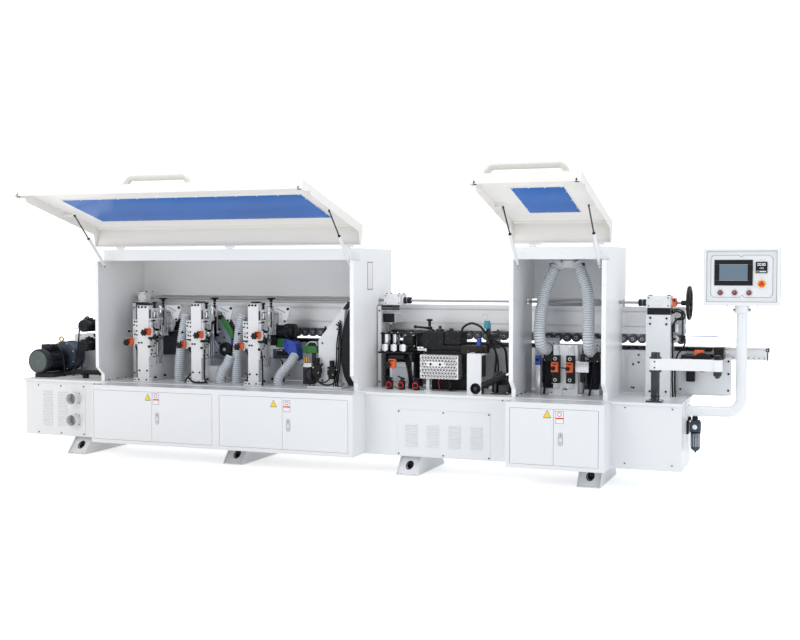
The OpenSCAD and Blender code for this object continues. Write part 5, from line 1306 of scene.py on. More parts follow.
# ------------------------------------------------------------------ lift drive
# gearboxes: x, width
for k, (x, width) in enumerate(((-2.546, 0.076), (-0.3, 0.135), (1.724, 0.170))):
    name = "gearbox_trim_%d" % (k + 1)
    black = piece(name, "blk")
    bolts(black, UP, 0.0068,
          [(x + s * width, y, 1.320) for y in (0.402, 0.498) for s in (-0.38, 0.38)])
    bolts(black, FRONT, 0.0045,
          [(x + s * width, 0.382, z) for z in (1.250, 1.306) for s in (-0.40, 0.40)])
    white = piece(name, "cast_white")
    lathe(white, (x, 0.382, 1.278), FRONT,
          [(0, 0), (0, 0.030), (0.003, 0.030), (0.005, 0.027), (0.005, 0.020),
           (0.002, 0.018), (0.002, 0)], 32)
    for s in (-1, 1):
        lathe(white, (x + s * width / 2, SHAFT_Y, SHAFT_Z), (s, 0, 0),
              [(0, 0.0105), (0, 0.033), (0.006, 0.031), (0.008, 0.026), (0.008, 0.0105),
               (0, 0.0105)], 32)
COUPLING = [(0, 0.0101), (0, 0.0235), (0.002, 0.0255), (0.026, 0.0255), (0.027, 0.0240),
            (0.031, 0.0240), (0.032, 0.0255), (0.058, 0.0255), (0.060, 0.0235),
            (0.060, 0.0101), (0, 0.0101)]
for x in (-0.226, 1.576):
    lathe(piece("shaft_couplings", "castblk", "lift_drive"), (x - 0.001, SHAFT_Y, SHAFT_Z),
          RIGHT, COUPLING, 32)
    bolts(piece("shaft_couplings", "dsteel", "lift_drive"), FRONT, 0.004,
          [(x + 0.014, 0.4245, SHAFT_Z), (x + 0.046, 0.4245, SHAFT_Z)])
HANDWHEEL_X = 1.932
wheel = piece("handwheel_rim", "blk", "lift_drive")
torus(wheel, (HANDWHEEL_X, SHAFT_Y, SHAFT_Z), RIGHT, 0.110, 0.0118, 72, 16)
for k in range(3):
    a = rad(90 + 120 * k)
    spoke = (HANDWHEEL_X, SHAFT_Y + 0.065 * math.cos(a), SHAFT_Z + 0.065 * math.sin(a))
    box(wheel, spoke, (0.010, 0.088, 0.018), 0.003, (deg(a), 0, 0), 3)
lathe(wheel, (1.912, SHAFT_Y, SHAFT_Z), RIGHT,
      [(0, 0.0102), (0, 0.022), (0.002, 0.024), (0.038, 0.024), (0.040, 0.022),
       (0.040, 0.0102), (0, 0.0102)], 36)
lathe(wheel, (1.876, SHAFT_Y, SHAFT_Z), RIGHT,
      [(0, 0.0102), (0, 0.0165), (0.002, 0.018), (0.036, 0.018), (0.036, 0.0102),
       (0, 0.0102)], 36)
cyl(piece("handwheel_hub", "chrome", "lift_drive"), (1.9525, SHAFT_Y, SHAFT_Z), RIGHT,
    0.006, 0.013)
# height counter on the shaft, cable loops, limit switch and tubes beside the column
box(piece("height_counter", "orange"), (1.828, 0.450, 1.274), (0.032, 0.056, 0.062),
    0.006, seg=3)
black = piece("height_counter", "blk")
torus(black, (1.8445, SHAFT_Y, SHAFT_Z), RIGHT, 0.013, 0.004, 26, 8)
block(black, 1.822, 1.838, 0.4205, 0.423, 1.280, 1.298, 0.001)
cables = piece("column_cables", "blk")
sweep(cables, [(1.812, 0.430, 1.205), (1.830, 0.420, 1.222), (1.868, 0.420, 1.222),
               (1.9, 0.430, 1.195), (1.898, 0.440, 1.160), (1.860, 0.450, 1.150),
               (1.830, 0.450, 1.160)], 0.0055)
sweep(cables, [(1.820, 0.420, 1.196), (1.845, 0.412, 1.212), (1.880, 0.415, 1.198),
               (1.880, 0.430, 1.168), (1.845, 0.435, 1.150), (1.820, 0.430, 1.100),
               (1.822, 0.420, 0.980), (1.822, 0.415, 0.850), (1.822, 0.415, 0.730),
               (1.826, 0.420, CABLE_Z)], 0.0065)
sweep(cables, [(1.888, 0.520, 1.035), (1.896, 0.516, 0.985), (1.880, 0.5, 0.940),
               (1.850, 0.480, 0.9), (1.836, 0.460, 0.820), (1.836, 0.450, 0.7),
               (1.840, 0.450, CABLE_Z)], 0.006)
block(piece("limit_switch", "motor_blue"), 1.818, 1.836, 0.440, 0.490, 1.060, 1.118, 0.003)
block(piece("limit_switch", "white"), 1.836, 1.854, 0.440, 0.490, 1.060, 1.118, 0.003)
block(piece("limit_switch", "steel"), 1.812, 1.820, 0.450, 0.520, 0.980, 1.130, 0.002)
cyl(piece("limit_switch", "greylight"), (1.833, 0.462, 1.012), FRONT, 0.014, 0.028, 0.002, 32)
cyl(piece("limit_switch", "dsteel"), (1.833, 0.449, 1.012), FRONT, 0.004, 0.010)
cyl(piece("limit_tube", "motor_blue"), (1.880, 0.5, 1.030), UP, 0.185, 0.007)
cyl(piece("limit_tube", "blue"), (1.890, 0.5, 1.033), RIGHT, 0.235, 0.0028)
block(piece("limit_tube", "blk"), 1.868, 1.9, 0.485, 0.515, 0.990, 1.034, 0.004)
screws = piece("column_bolts", "blk")
bolts(screws, FRONT, 0.0075,
      [(x, 0.380, z) for x, z in ((1.669, 1.164), (1.783, 1.161), (1.668, 1.121),
                                  (1.782, 1.120), (1.669, 0.640), (1.782, 0.640))])
block(piece("column_head", "castblk"), 1.645, 1.803, 0.386, 0.560, 1.186, 1.2355, 0.004)
bolts(screws, FRONT, 0.0065,
      [(x, 0.380, z) for x in (-2.622, -0.404) for z in (1.190, 0.640)])
# lift screw x, gearbox x
for x, gear_x in ((-2.556, -2.546), (-0.338, -0.3)):
    nut = piece("lift_nut_trim", "castblk", "beam")
    block(nut, x - 0.047, x + 0.047, 0.4065, 0.4085, 1.098, 1.168, 0.002)
    bolts(nut, FRONT, 0.0055,
          [(x + s, 0.4065, z) for z in (1.108, 1.158) for s in (-0.034, 0.034)])
    blocks(piece("lift_plate_trim", "castblk"),
           *((x - 0.052, gear_x + 0.060, 0.379, 0.385, z - 0.008, z + 0.005, 0.001)
             for z in (1.205, 1.222)),
           (x - 0.080, gear_x + 0.068, 0.3785, 0.3805, 1.2285, 1.2355, 0.0008))
THREAD = [(0, 0.0101)]
for k in range(14):
    THREAD += [(0.003 * k, 0.0103), (0.003 * k + 0.0015, 0.0113)]
THREAD += [(0.042, 0.0103), (0.042, 0.0101), (0, 0.0101)]
COLLAR = [(0, 0.0101), (0, 0.011), (0.0035, 0.011), (0.0035, 0.0101), (0, 0.0101)]
for x, profile in ((-2.556, THREAD), (-0.338, THREAD), (1.724, COLLAR)):
    lathe(piece("lift_screw_threads", "steel"), (x, SHAFT_Y, 1.0405), UP, profile, 18)

# ------------------------------------------------------------------ outfeed end drives
x, z = -3.385, 0.735    # axis of the feed motor
motor = piece("feed_motor", "motor_grey")
lathe(motor, (x, 0.095, z), BACK,
      [(0, 0), (-0.004, 0.030), (-0.006, 0.060), (-0.004, 0.092), (0.002, 0.1),
       (0.010, 0.103), (0.055, 0.103), (0.058, 0.097), (0.060, 0)], 48)
for k, a in enumerate(turn(14)):
    for radius in (0.040, 0.058, 0.076):
        if radius < 0.076 or k % 2 == 0:
            box(piece("feed_motor", "shadow"),
                (x + radius * math.cos(a), 0.0895, z + radius * math.sin(a)),
                (0.012, 0.0025, 0.004), 0.0006, (0, -deg(a), 0))
grille = piece("feed_motor_grille", "grille")
cyl(grille, (x, 0.0893, z), FRONT, 0.0016, 0.086, 0.0006, 48)
for radius in (0.026, 0.042, 0.058, 0.074, 0.086):
    torus(grille, (x, 0.0880, z), FRONT, radius, 0.0024, 44, 6)
box_ring(grille, (x, 0.0872, z), 0.055, 16, (0.058, 0.0022, 0.0030), 0.0006)
lathe(motor, (x, 0.155, z), BACK, [(0, 0), (0, 0.088), (0.240, 0.088), (0.240, 0)], 40)
box_ring(motor, (x, 0.265, z), 0.0925, 30, (0.009, 0.2, 0.003), 0.0008)
block(motor, x - 0.050, x + 0.050, 0.2, 0.3, 0.820, 0.872, 0.006, 3)
bolts(piece("feed_motor", "zinc"), UP, 0.0045,
      [(x + s, y, 0.872) for y in (0.210, 0.290) for s in (-0.040, 0.040)])
cyl(piece("feed_motor", "blk"), (x + 0.050, 0.250, 0.846), RIGHT, 0.024, 0.011)
block(motor, -3.440, -3.260, 0.120, 0.395, TABLE_Z, 0.633, 0.004)
reducer = piece("feed_reducer", "motor_blue")
lathe(reducer, (-3.360, 0.395, 0.760), BACK,
      [(0, 0), (0, 0.120), (0.004, 0.128), (0.030, 0.128), (0.034, 0.118), (0.116, 0.118),
       (0.120, 0.128), (0.146, 0.128), (0.150, 0.120), (0.150, 0)], 52)
bolts(piece("feed_reducer", "zinc"), FRONT, 0.006,
      [(-3.360 + 0.116 * math.cos(a), 0.395, 0.760 + 0.116 * math.sin(a))
       for a in turn(8, 0.5)])
block(reducer, -3.470, -3.250, 0.405, 0.535, TABLE_Z, 0.640, 0.005)
torus(piece("lifting_eye", "brass"), (-3.425, 0.467, 0.902), FRONT, 0.019, 0.0065, 32, 10)
cyl(piece("lifting_eye", "brass"), (-3.425, 0.467, 0.850), UP, 0.036, 0.010)
BUFF_X = -3.105
for z in (1.028, 0.862):
    motor = piece("buffing_motors", "castblk")
    cyls(motor, ((BUFF_X, 0.335, z), BACK, 0.060, 0.052, 0.004, 40),
         ((BUFF_X, 0.395, z), BACK, 0.175, 0.046, 0.003, 36))
    box_ring(motor, (BUFF_X, 0.480, z), 0.0485, 18, (0.006, 0.150, 0.0022), 0.0006)
    lathe(motor, (BUFF_X, 0.335, z), FRONT,
          [(0, 0), (0, 0.049), (0.004, 0.046), (0.005, 0.020), (0.003, 0.018), (0.003, 0)],
          40)
    box_ring(piece("buffing_motors", "shadow"), (BUFF_X, 0.3295, z), 0.034, 9,
             (0.014, 0.002, 0.004), 0.0006)
    blocks(motor, (-3.130, -3.080, 0.4, 0.450, z + 0.040, z + 0.066, 0.004),
           (-3.060, -2.985, 0.430, 0.5, z - 0.040, z + 0.036, 0.004))
blocks(piece("buffing_post", "castblk"), (-3.010, -2.960, 0.470, 0.560, TABLE_Z, 1.070, 0.003),
       (-3.075, -3.045, 0.5, 0.560, TABLE_Z, 0.812, 0.002))
bolts(piece("buffing_post", "blk"), FRONT, 0.0065,
      [(-2.980, 0.470, z) for z in (0.640, 0.760, 1.045)])
black = piece("guide_cylinder", "blk")
cyls(black, ((-3.100, 0.180, 0.650), RIGHT, 0.290, 0.020, 0.003, 32),
     ((-3.100, 0.180, 0.650), RIGHT, 0.024, 0.0235, 0.002, 32),
     ((-2.835, 0.180, 0.650), RIGHT, 0.024, 0.0235, 0.002, 32))
cyl(piece("guide_cylinder", "chrome"), (-2.812, 0.180, 0.650), RIGHT, 0.050, 0.008)
block(black, -2.990, -2.950, 0.160, 0.2, TABLE_Z, 0.632, 0.003)
sweep(piece("left_rods", "blue"),
      [(-3.30, 0.3, 1.010), (-3.17, 0.3, 1.010), (-3.12, 0.3, 1.010)], 0.003, 8)
cables = piece("left_cables", "blk")
sweep(cables, [(-3.335, 0.250, 0.846), (-3.3, 0.250, 0.850), (-3.260, 0.250, 0.8),
               (-3.240, 0.250, 0.7), (-3.235, 0.250, CABLE_Z)], 0.0075, 12)
sweep(cables, [(-3.105, 0.425, 0.928), (-3.110, 0.420, 0.930), (-3.150, 0.410, 0.880),
               (-3.160, 0.4, 0.760), (-3.165, 0.390, CABLE_Z)], 0.0065, 12)
sweep(cables, [(-3.105, 0.425, 1.090), (-3.130, 0.420, 1.100), (-3.190, 0.410, 1.020),
               (-3.2, 0.390, 0.820), (-3.2, 0.320, CABLE_Z)], 0.0065, 12)
# low cables at the trimming units
cables = piece("unit_cables", "blk")
sweep(cables, [(-2.480, 0.175, 0.890), (-2.452, 0.165, 0.830), (-2.440, 0.158, 0.760),
               (-2.436, 0.152, 0.680), (-2.438, 0.150, CABLE_Z)], 0.0058)
sweep(cables, [(-1.975, 0.175, 0.880), (-1.940, 0.165, 0.810), (-1.935, 0.158, 0.7),
               (-1.970, 0.140, 0.640), (-1.990, 0.130, CABLE_Z)], 0.0055)
sweep(cables, [(-1.955, 0.120, 0.645), (-1.9, 0.105, 0.612), (-1.830, 0.1, 0.607),
               (-1.780, 0.120, 0.610)], 0.007)
sweep(cables, [(-1.838, 0.180, 0.950), (-1.826, 0.165, 0.860), (-1.822, 0.155, 0.740),
               (-1.810, 0.135, 0.640), (-1.780, 0.120, CABLE_Z)], 0.0065)
sweep(cables, [(-1.340, 0.170, 0.930), (-1.312, 0.160, 0.840), (-1.3, 0.150, 0.740),
               (-1.290, 0.130, 0.660), (-1.285, 0.120, CABLE_Z)], 0.0065)
sweep(cables, [(-1.470, 0.170, 0.9), (-1.430, 0.160, 0.820), (-1.424, 0.150, 0.7),
               (-1.440, 0.130, CABLE_Z)], 0.0055)
sweep(cables, [(-0.9, 0.420, CABLE_Z), (-0.905, 0.410, 0.720), (-0.9, 0.4, 0.880),
               (-0.880, 0.390, 1.0), (-0.860, 0.380, 1.060)], 0.0075, 12)
for x in (-2.235, -1.7, -1.290):
    sweep(cables, [(x, 0.5, CABLE_Z), (x + 0.004, 0.495, 0.680), (x - 0.010, 0.485, 0.780)],
          0.0065)

# three regulators on the table
for x in (-0.261, -0.164, -0.047):
    black = piece("table_regulators", "blk")
    block(black, x - 0.020, x + 0.020, 0.215, 0.260, TABLE_Z, 0.668, 0.005, 3)
    cyl(black, (x, 0.237, 0.668), UP, 0.018, 0.013, 0.003)
    lathe(black, (x, 0.215, 0.636), FRONT,
          [(0, 0), (0, 0.021), (0.010, 0.023), (0.012, 0.020), (0.012, 0)], 28)
    torus(piece("table_regulators", "red"), (x, 0.2025, 0.636), FRONT, 0.020, 0.004, 30, 8)
    lathe(black, (x, 0.2040, 0.636), FRONT,
          [(0, 0), (0, 0.0150), (0.014, 0.0130), (0.016, 0.010), (0.016, 0)], 20)
    box(black, (x - 0.006, 0.237, 0.690), (0.060, 0.016, 0.009), 0.003, (0, 18, 0))
    cyl(piece("table_regulators", "steel"), (x + 0.020, 0.237, 0.625), RIGHT, 0.012, 0.005)
pipes = piece("table_regulators", "motor_blue")
sweep(pipes, [(-0.229, 0.237, 0.625), (-0.215, 0.237, 0.612), (-0.2, 0.237, 0.608),
              (-0.186, 0.237, 0.620)], 0.0035, 8)
sweep(pipes, [(-0.132, 0.237, 0.625), (-0.110, 0.237, 0.610), (-0.085, 0.237, 0.608),
              (-0.068, 0.237, 0.622)], 0.0035, 8)
# air service unit on the infeed end
x = 2.0
unit = piece("air_service", "motor_blue")
black = piece("air_service", "blk")
block(black, 1.942, 1.956, 0.258, 0.342, 0.360, 0.450, 0.003)
blocks(unit, (x - 0.036, x + 0.036, 0.262, 0.338, 0.378, 0.446, 0.006, 3),
       (x - 0.030, x + 0.030, 0.268, 0.332, 0.444, 0.458, 0.004, 3))
lathe(unit, (x, 0.3, 0.242), UP,
      [(0, 0), (0, 0.014), (0.010, 0.027), (0.022, 0.0325), (0.134, 0.0335), (0.136, 0)], 40)
box_ring(piece("air_service", "steel"), (x, 0.3, 0.318), 0.0325, 14, (0.003, 0.005, 0.090),
         0.001, upright=True)
torus(black, (x, 0.3, 0.374), UP, 0.0325, 0.005, 36, 8)
cyl(black, (x, 0.3, 0.230), UP, 0.014, 0.007)
lathe(black, (x - 0.004, 0.3, 0.456), UP,
      [(0, 0), (0, 0.018), (0.012, 0.021), (0.026, 0.020), (0.030, 0.014), (0.030, 0)], 30)
block(black, x - 0.052, x - 0.030, 0.280, 0.320, 0.455, 0.480, 0.003)
cyl(piece("air_service", "steel"), (x, 0.262, 0.414), FRONT, 0.012, 0.018, 0.002, 28)
cyl(piece("air_service", "paper"), (x, 0.250, 0.414), FRONT, 0.001, 0.015, 0.0003, 26)

# cap over the shaft opening in the side of the first hood
cyl(piece("shaft_cap", "hood"), (-2.6950, 0.441, 1.2725), RIGHT, 0.0045, 0.034, 0.001, 36)

# ------------------------------------------------------------------ control panel
PANEL_X, PANEL_Z = 2.3, 1.4     # split left from right, and low from high corners
PX0, PX1, PZ0, PZ1 = 2.103, 2.507, 1.318, 1.604
# raised line round the controls, (x, z), notched at top and bottom
PANEL_LINE = [
    (PX0 + 0.017, PZ1), (2.288, PZ1), (2.303, PZ1 - 0.014), (2.318, PZ1),
    (PX1 - 0.020, PZ1), (PX1, PZ1 - 0.020), (PX1, PZ0 + 0.020), (PX1 - 0.018, PZ0),
    (2.324, PZ0), (2.308, PZ0 + 0.015), (2.292, PZ0), (PX0 + 0.018, PZ0),
    (PX0, PZ0 + 0.020), (PX0, PZ1 - 0.020)]
LINE_WIDTH = 0.0024
for start, end in zip(PANEL_LINE, PANEL_LINE[1:] + PANEL_LINE[:1]):
    a, b = Vector((start[0], 0.1922, start[1])), Vector((end[0], 0.1922, end[1]))
    step, middle = b - a, (a + b) / 2
    box(piece("panel_outline", "inline", "panel"), (middle.x, 0.1922, middle.z),
        (step.length + LINE_WIDTH * 0.8, 0.0014, LINE_WIDTH), 0.0003,
        (0, -deg(math.atan2(step.z, step.x)), 0), 1)
bolts(piece("panel_screws", "zinc", "panel"), FRONT, 0.0036,
      [(PX0 + 0.003, 0.193, PZ1 - 0.001), (PX1 - 0.002, 0.193, PZ1 - 0.001),
       (PX0 + 0.003, 0.193, PZ0 + 0.002), (PX1 - 0.002, 0.193, PZ0 + 0.002)])


def inset(corners, distance):
    """Corners moved towards the middle of the panel."""
    return [(x + (distance if x < PANEL_X else -distance),
             z + (distance if z < PANEL_Z else -distance)) for x, z in corners]


# raised frame with a sloping inner edge, as six loops of corners round its section
OUTER = [(2.056, 1.263), (2.554, 1.263), (2.554, 1.654), (2.056, 1.654)]
INNER = [(2.085, 1.296), (2.525, 1.296), (2.525, 1.624), (2.085, 1.624)]
RIDGE = inset(INNER, -0.010)
verts = []
for corners, y in ((OUTER, 0.1845), (inset(OUTER, 0.006), 0.18), (RIDGE, 0.18),
                   (INNER, 0.1918), (INNER, 0.1935), (OUTER, 0.1935)):
    verts += [(x, y, z) for x, z in corners]
piece("panel_frame", "white", "panel").add(verts, bridge((0, 4, 8, 12, 16, 20, 0), 4))
# painted shade: a darker strip on the sloping inner edge
for k in range(4):
    j = (k + 1) % 4
    quad = [(x, y, z) for (x, z), y in ((INNER[k], 0.1912), (INNER[j], 0.1912),
                                        (RIDGE[j], 0.1794), (RIDGE[k], 0.1794))]
    behind = [(x, y + 0.0010, z) for x, y, z in quad]
    piece("panel_bezel_shade", "bezel_shade", "panel").add(
        quad + behind, [(0, 1, 2, 3), (7, 6, 5, 4), (0, 4, 5, 1), (1, 5, 6, 2),
                        (2, 6, 7, 3), (3, 7, 4, 0)])
blocks(piece("panel_display", "blk", "panel"),
       (2.126, 2.378, 0.1845, 0.1925, 1.398, 1.433, 0.002),
       (2.126, 2.378, 0.1845, 0.1925, 1.541, 1.573, 0.002),
       (2.126, 2.161, 0.1846, 0.1925, 1.4332, 1.5408, 0.0005),
       (2.343, 2.378, 0.1846, 0.1925, 1.4332, 1.5408, 0.0005))
block(piece("panel_screen", "screen", "panel"),
      2.1605, 2.3435, 0.1853, 0.1880, 1.4325, 1.5415, 0.0004)
blocks(piece("panel_display", "greylight", "panel"),
       (2.1590, 2.3450, 0.1848, 0.1880, 1.4310, 1.4336, 0.0004),
       (2.1590, 2.3450, 0.1848, 0.1880, 1.5404, 1.5430, 0.0004),
       (2.1590, 2.1616, 0.1848, 0.1880, 1.4338, 1.5402, 0.0004),
       (2.3424, 2.3450, 0.1848, 0.1880, 1.4338, 1.5402, 0.0004))
block(piece("panel_meter", "blk", "panel"), 2.3965, 2.472, 0.1840, 0.1925, 1.482, 1.559, 0.002)
block(piece("panel_meter", "screen", "panel"),
      2.402, 2.466, 0.1834, 0.1842, 1.487, 1.5, 0.0003)


def seven_segment(x, z, height, lit):
    """One digit drawn with small bars; lit names its segments a to g."""
    bar, width = height * 0.14, height * 0.55
    # offset x, offset z, lies flat
    segments = {"a": (0, height / 2, True), "g": (0, 0, True), "d": (0, -height / 2, True),
                "f": (-width / 2, height / 4, False), "b": (width / 2, height / 4, False),
                "e": (-width / 2, -height / 4, False), "c": (width / 2, -height / 4, False)}
    for letter in lit:
        dx, dz, flat = segments[letter]
        size = (width * 0.82, 0.0006, bar) if flat else (bar, 0.0006, height * 0.40)
        box(piece("panel_meter", "digit", "panel"), (x + dx, 0.1838, z + dz), size,
            0.0001, seg=1)


for k, lit in enumerate(("abcdef", "abcdef", "abcdg", "abcdef")):
    seven_segment(2.414 + 0.0135 * k, 1.541, 0.016, lit)
for k, lit in enumerate(("bc", "abcdef", "abcdef")):
    seven_segment(2.421 + 0.011 * k, 1.516, 0.009, lit)
block(piece("panel_meter", "orange", "panel"),
      2.401, 2.408, 0.1830, 0.1836, 1.489, 1.498, 0.0002)
for k in range(4):
    x = 2.424 + 0.010 * k
    block(piece("panel_meter", "paper", "panel"),
          x, x + 0.008, 0.1828, 0.1835, 1.490, 1.497, 0.0002)
STOP_X, STOP_Z = 2.436, 1.410
tube(piece("panel_stop_ring", "yellow", "panel"), (STOP_X, 0.1930, STOP_Z), FRONT,
     0.0055, 0.0290, 0.0110, 0.0012, 44)
tube(piece("panel_stop_ring", "red", "stop_button"), (STOP_X, 0.1650, STOP_Z), FRONT,
     0.0030, 0.0190, 0.0080, 0.001, 40)
lathe(piece("stop_head", "red", "stop_button"), (STOP_X, 0.18, STOP_Z), FRONT,
      [(0, 0), (0, 0.013), (0.002, 0.0185), (0.005, 0.0202), (0.011, 0.0202),
       (0.0145, 0.0185), (0.0158, 0.0150), (0.0160, 0)], 40)
cyl(piece("stop_head", "blk", "stop_button"), (STOP_X, 0.1795, STOP_Z), BACK, 0.030, 0.010)
for a in turn(3):
    a += 0.5
    box(piece("stop_head", "paper", "stop_button"),
        (STOP_X + 0.0135 * math.cos(a), 0.1620, STOP_Z + 0.0135 * math.sin(a)),
        (0.0075, 0.0006, 0.0018), 0.0002, (0, -deg(a) - 60, 0), 1)
for k, x in enumerate((2.167, 2.261, 2.355)):
    lathe(piece("panel_button_rings", "greylight", "panel"), (x, 0.1932, 1.350), FRONT,
          [(0, 0.0170), (0, 0.0228), (0.003, 0.0225), (0.007, 0.020), (0.007, 0.0170),
           (0, 0.0170)], 36)
    name, body = "button_head_%d" % (k + 1), "button_%d" % (k + 1)
    lathe(piece(name, "dred", body), (x, 0.190, 1.350), FRONT,
          [(0, 0), (0, 0.0162), (0.007, 0.0166), (0.0095, 0.0156), (0.010, 0.0140),
           (0.0090, 0.0120), (0.0088, 0)], 40)
    cyl(piece(name, "blk", body), (x, 0.190, 1.350), BACK, 0.022, 0.012)
    block(piece(name, "paper", body),
          x - 0.0045, x + 0.0005, 0.1804, 0.1812, 1.3500, 1.3530, 0.0002)
    block(piece("panel_marks", "decal_grey", "panel"),
          x - 0.014, x + 0.014, 0.1924, 0.1930, 1.379, 1.3815, 0.0002)
blocks(piece("panel_marks", "decal_grey", "panel"),
       (2.412, 2.458, 0.1924, 0.1930, 1.572, 1.575, 0.0002),
       (2.424, 2.450, 0.1924, 0.1930, 1.452, 1.455, 0.0002))
collar = piece("panel_collar", "white", "panel")
tube(collar, (2.308, 0.240, 1.216), UP, 0.040, 0.0495, 0.0372, 0.002, 44)
torus(collar, (2.308, 0.240, 1.2185), UP, 0.0475, 0.004, 44, 8)
for s in (-1, 1):
    dark = piece("panel_collar", "dsteel", "panel")
    cyl(dark, (2.308 + s * 0.052, 0.225, 1.236), FRONT, 0.014, 0.0055)
    bolt(dark, (2.308 + s * 0.052, 0.211, 1.236), FRONT, 0.0052)
    bolt(dark, (2.308 + s * 0.1, 0.240, 1.262), DOWN, 0.006)
# back of the box: door, hinges, lock, vents
block(piece("panel_back", "white", "panel"), 2.075, 2.535, 0.302, 0.307, 1.282, 1.635, 0.002)
cyls(piece("panel_back", "zinc", "panel"),
     *(((2.072, 0.306, z - 0.022), UP, 0.044, 0.0055) for z in (1.330, 1.585)),
     ((2.512, 0.307, 1.455), BACK, 0.004, 0.013))
block(piece("panel_back", "dsteel", "panel"),
      2.511, 2.513, 0.3105, 0.3118, 1.448, 1.462, 0.0003)
for k in range(6):
    z = 1.550 + k * 0.010
    block(piece("panel_back", "shadow", "panel"),
          2.250, 2.370, 0.3066, 0.3076, z, z + 0.004, 0.0004)

# ------------------------------------------------------------------ swing support, infeed end
bolts(piece("swing_trim", "dsteel", "arm"), FRONT, 0.0055,
      [(1.753, 0.026, z) for z in (0.838, 0.880)])
post = piece("swing_post_trim", "blk")
torus(post, (1.753, 0.070, 0.640), UP, 0.0315, 0.003, 36, 8)
cyl(post, (1.753, 0.070, 0.9105), UP, 0.030, 0.030, 0.003, 40)
bolts(piece("swing_post_trim", "zinc"), UP, 0.0065,
      [(1.750 + 0.058 * math.cos(a), 0.070 + 0.058 * math.sin(a) * 0.75, 0.612)
       for a in turn(4, 0.5)])
lathe(piece("swing_spindle_knob", "blk", "spindle"), (2.165, 0.070, 0.908), UP,
      [(0, 0), (0, 0.020), (0.004, 0.026), (0.016, 0.026), (0.020, 0.022), (0.020, 0)], 36)
lathe(piece("swing_spindle_knob", "dsteel", "spindle"), (2.165, 0.070, 0.804), DOWN,
      [(0, 0), (0, 0.024), (0.004, 0.0262), (0.014, 0.0262), (0.016, 0.020),
       (0.030, 0.0125), (0.032, 0)], 36)

# ------------------------------------------------------------------ lids
# Drawn closed, then swung about the hinge line to the open rest position.
HINGE = (0, 0.035, 1.684)
LID_OPEN = (Matrix.Translation(HINGE) @ Matrix.Rotation(rad(-104.5), 4, "X")
            @ Matrix.Translation([-c for c in HINGE]))
INSIDE_Y = -0.122
LIDS = [  # letter, x range, window x range, window z range, handle x range, hinge x
    ("a", -2.750, -0.418, (-2.545, -0.585), (0.920, 1.440), (-1.860, -1.306),
     (-2.560, -1.560, -0.560)),
    ("b", 0.740, 1.450, (0.942, 1.265), (0.9, 1.415), (0.805, 1.365), (0.870, 1.320))]


def lid_window(part, window_x, window_z, screws_across):
    """Raised frame, painted highlight on the bottom and left edges, and screws round the window;
    returns the screws.
    """
    (wx0, wx1), (wz0, wz1) = window_x, window_z
    y = INSIDE_Y
    blocks(part("window_frame", "lidpaint"),
           *((x0, x1, y, y + 0.0055, z0, z1, 0.001) for x0, x1, z0, z1 in (
               (wx0 - 0.020, wx1 + 0.020, wz0 - 0.020, wz0 - 0.015),
               (wx0 - 0.020, wx1 + 0.020, wz1 + 0.015, wz1 + 0.020),
               (wx0 - 0.020, wx0 - 0.015, wz0 - 0.020, wz1 + 0.020),
               (wx1 + 0.015, wx1 + 0.020, wz0 - 0.020, wz1 + 0.020))))
    # painted highlight: glowing strips on the bottom and left window edges only
    blocks(part("window_edge", "window_edge_glint"),
           (wx0 - 0.015, wx1 + 0.015, y + 0.004, y + 0.005, wz0 - 0.0150, wz0 - 0.0125, 0.0003),
           (wx0 - 0.015, wx0 - 0.0125, y + 0.004, y + 0.005, wz0 - 0.015, wz1 + 0.015, 0.0003))
    screws = part("screws", "zinc")
    bolts(screws, BACK, 0.0048,
          [(wx0 + (wx1 - wx0) * k / (screws_across - 1), y + 0.004, z)
           for k in range(screws_across) for z in (wz0 - 0.010, wz1 + 0.010)])
    bolts(screws, BACK, 0.0048,
          [(x, y + 0.004, wz0 + (wz1 - wz0) * (k + 0.5) / 3)
           for k in range(3) for x in (wx0 - 0.010, wx1 + 0.010)])
    return screws


for letter, x0, x1, window_x, window_z, handle_x, hinges in LIDS:
    def part(name, material):
        return piece("lid_%s_%s" % (letter, name), material, "hood_lid_" + letter, LID_OPEN)

    screws = lid_window(part, window_x, window_z, 13 if letter == "a" else 4)
    buffers = part("buffers", "rubber")
    for x in (x0 + 0.025, x1 - 0.025):
        lathe(buffers, (x, INSIDE_Y, 0.637), BACK,
              [(0, 0), (0, 0.0150), (0.008, 0.0150), (0.010, 0.0125), (0.042, 0.0125),
               (0.0462, 0.0105), (0.0462, 0)], 26)
    for x in (x0 + 0.030, x1 - 0.030):
        cyl(buffers, (x, -0.080, 0.6260), BACK, 0.020, 0.0150, 0.003, 26)
    for s, x in zip((1, -1), handle_x):
        near, far = x - 0.002 * s, x + 0.030 * s
        block(part("handle_ends", "greylight"), min(near, far), max(near, far),
              -0.134, -0.1252, 0.652, 0.688, 0.002)
        bolts(screws, FRONT, 0.0035, [(x + d * s, -0.134, 0.670) for d in (0.008, 0.022)])
    # the grab handle is a bent round bar, mirrored about its middle
    bend = [(handle_x[0] + dx, y, 0.670) for dx, y in (
        (0.013, -0.1260), (0.024, -0.146), (0.040, -0.171), (0.060, -0.187),
        (0.090, -0.1885), (0.160, -0.1885))]
    bend += [(sum(handle_x) - x, y, z) for x, y, z in reversed(bend)]
    sweep(part("handle", "handlepaint"), bend, 0.0206, 22, 6)
    # folded stiffening rib and hinge screws inside the lid
    block(part("ribs", "lidpaint"),
          x0 + 0.008, x1 - 0.008, INSIDE_Y, -0.110, 1.640, 1.652, 0.002)
    bolts(screws, UP, 0.005, [(x + d, 0.020, 1.690) for x in hinges for d in (0.050, 0.070)])

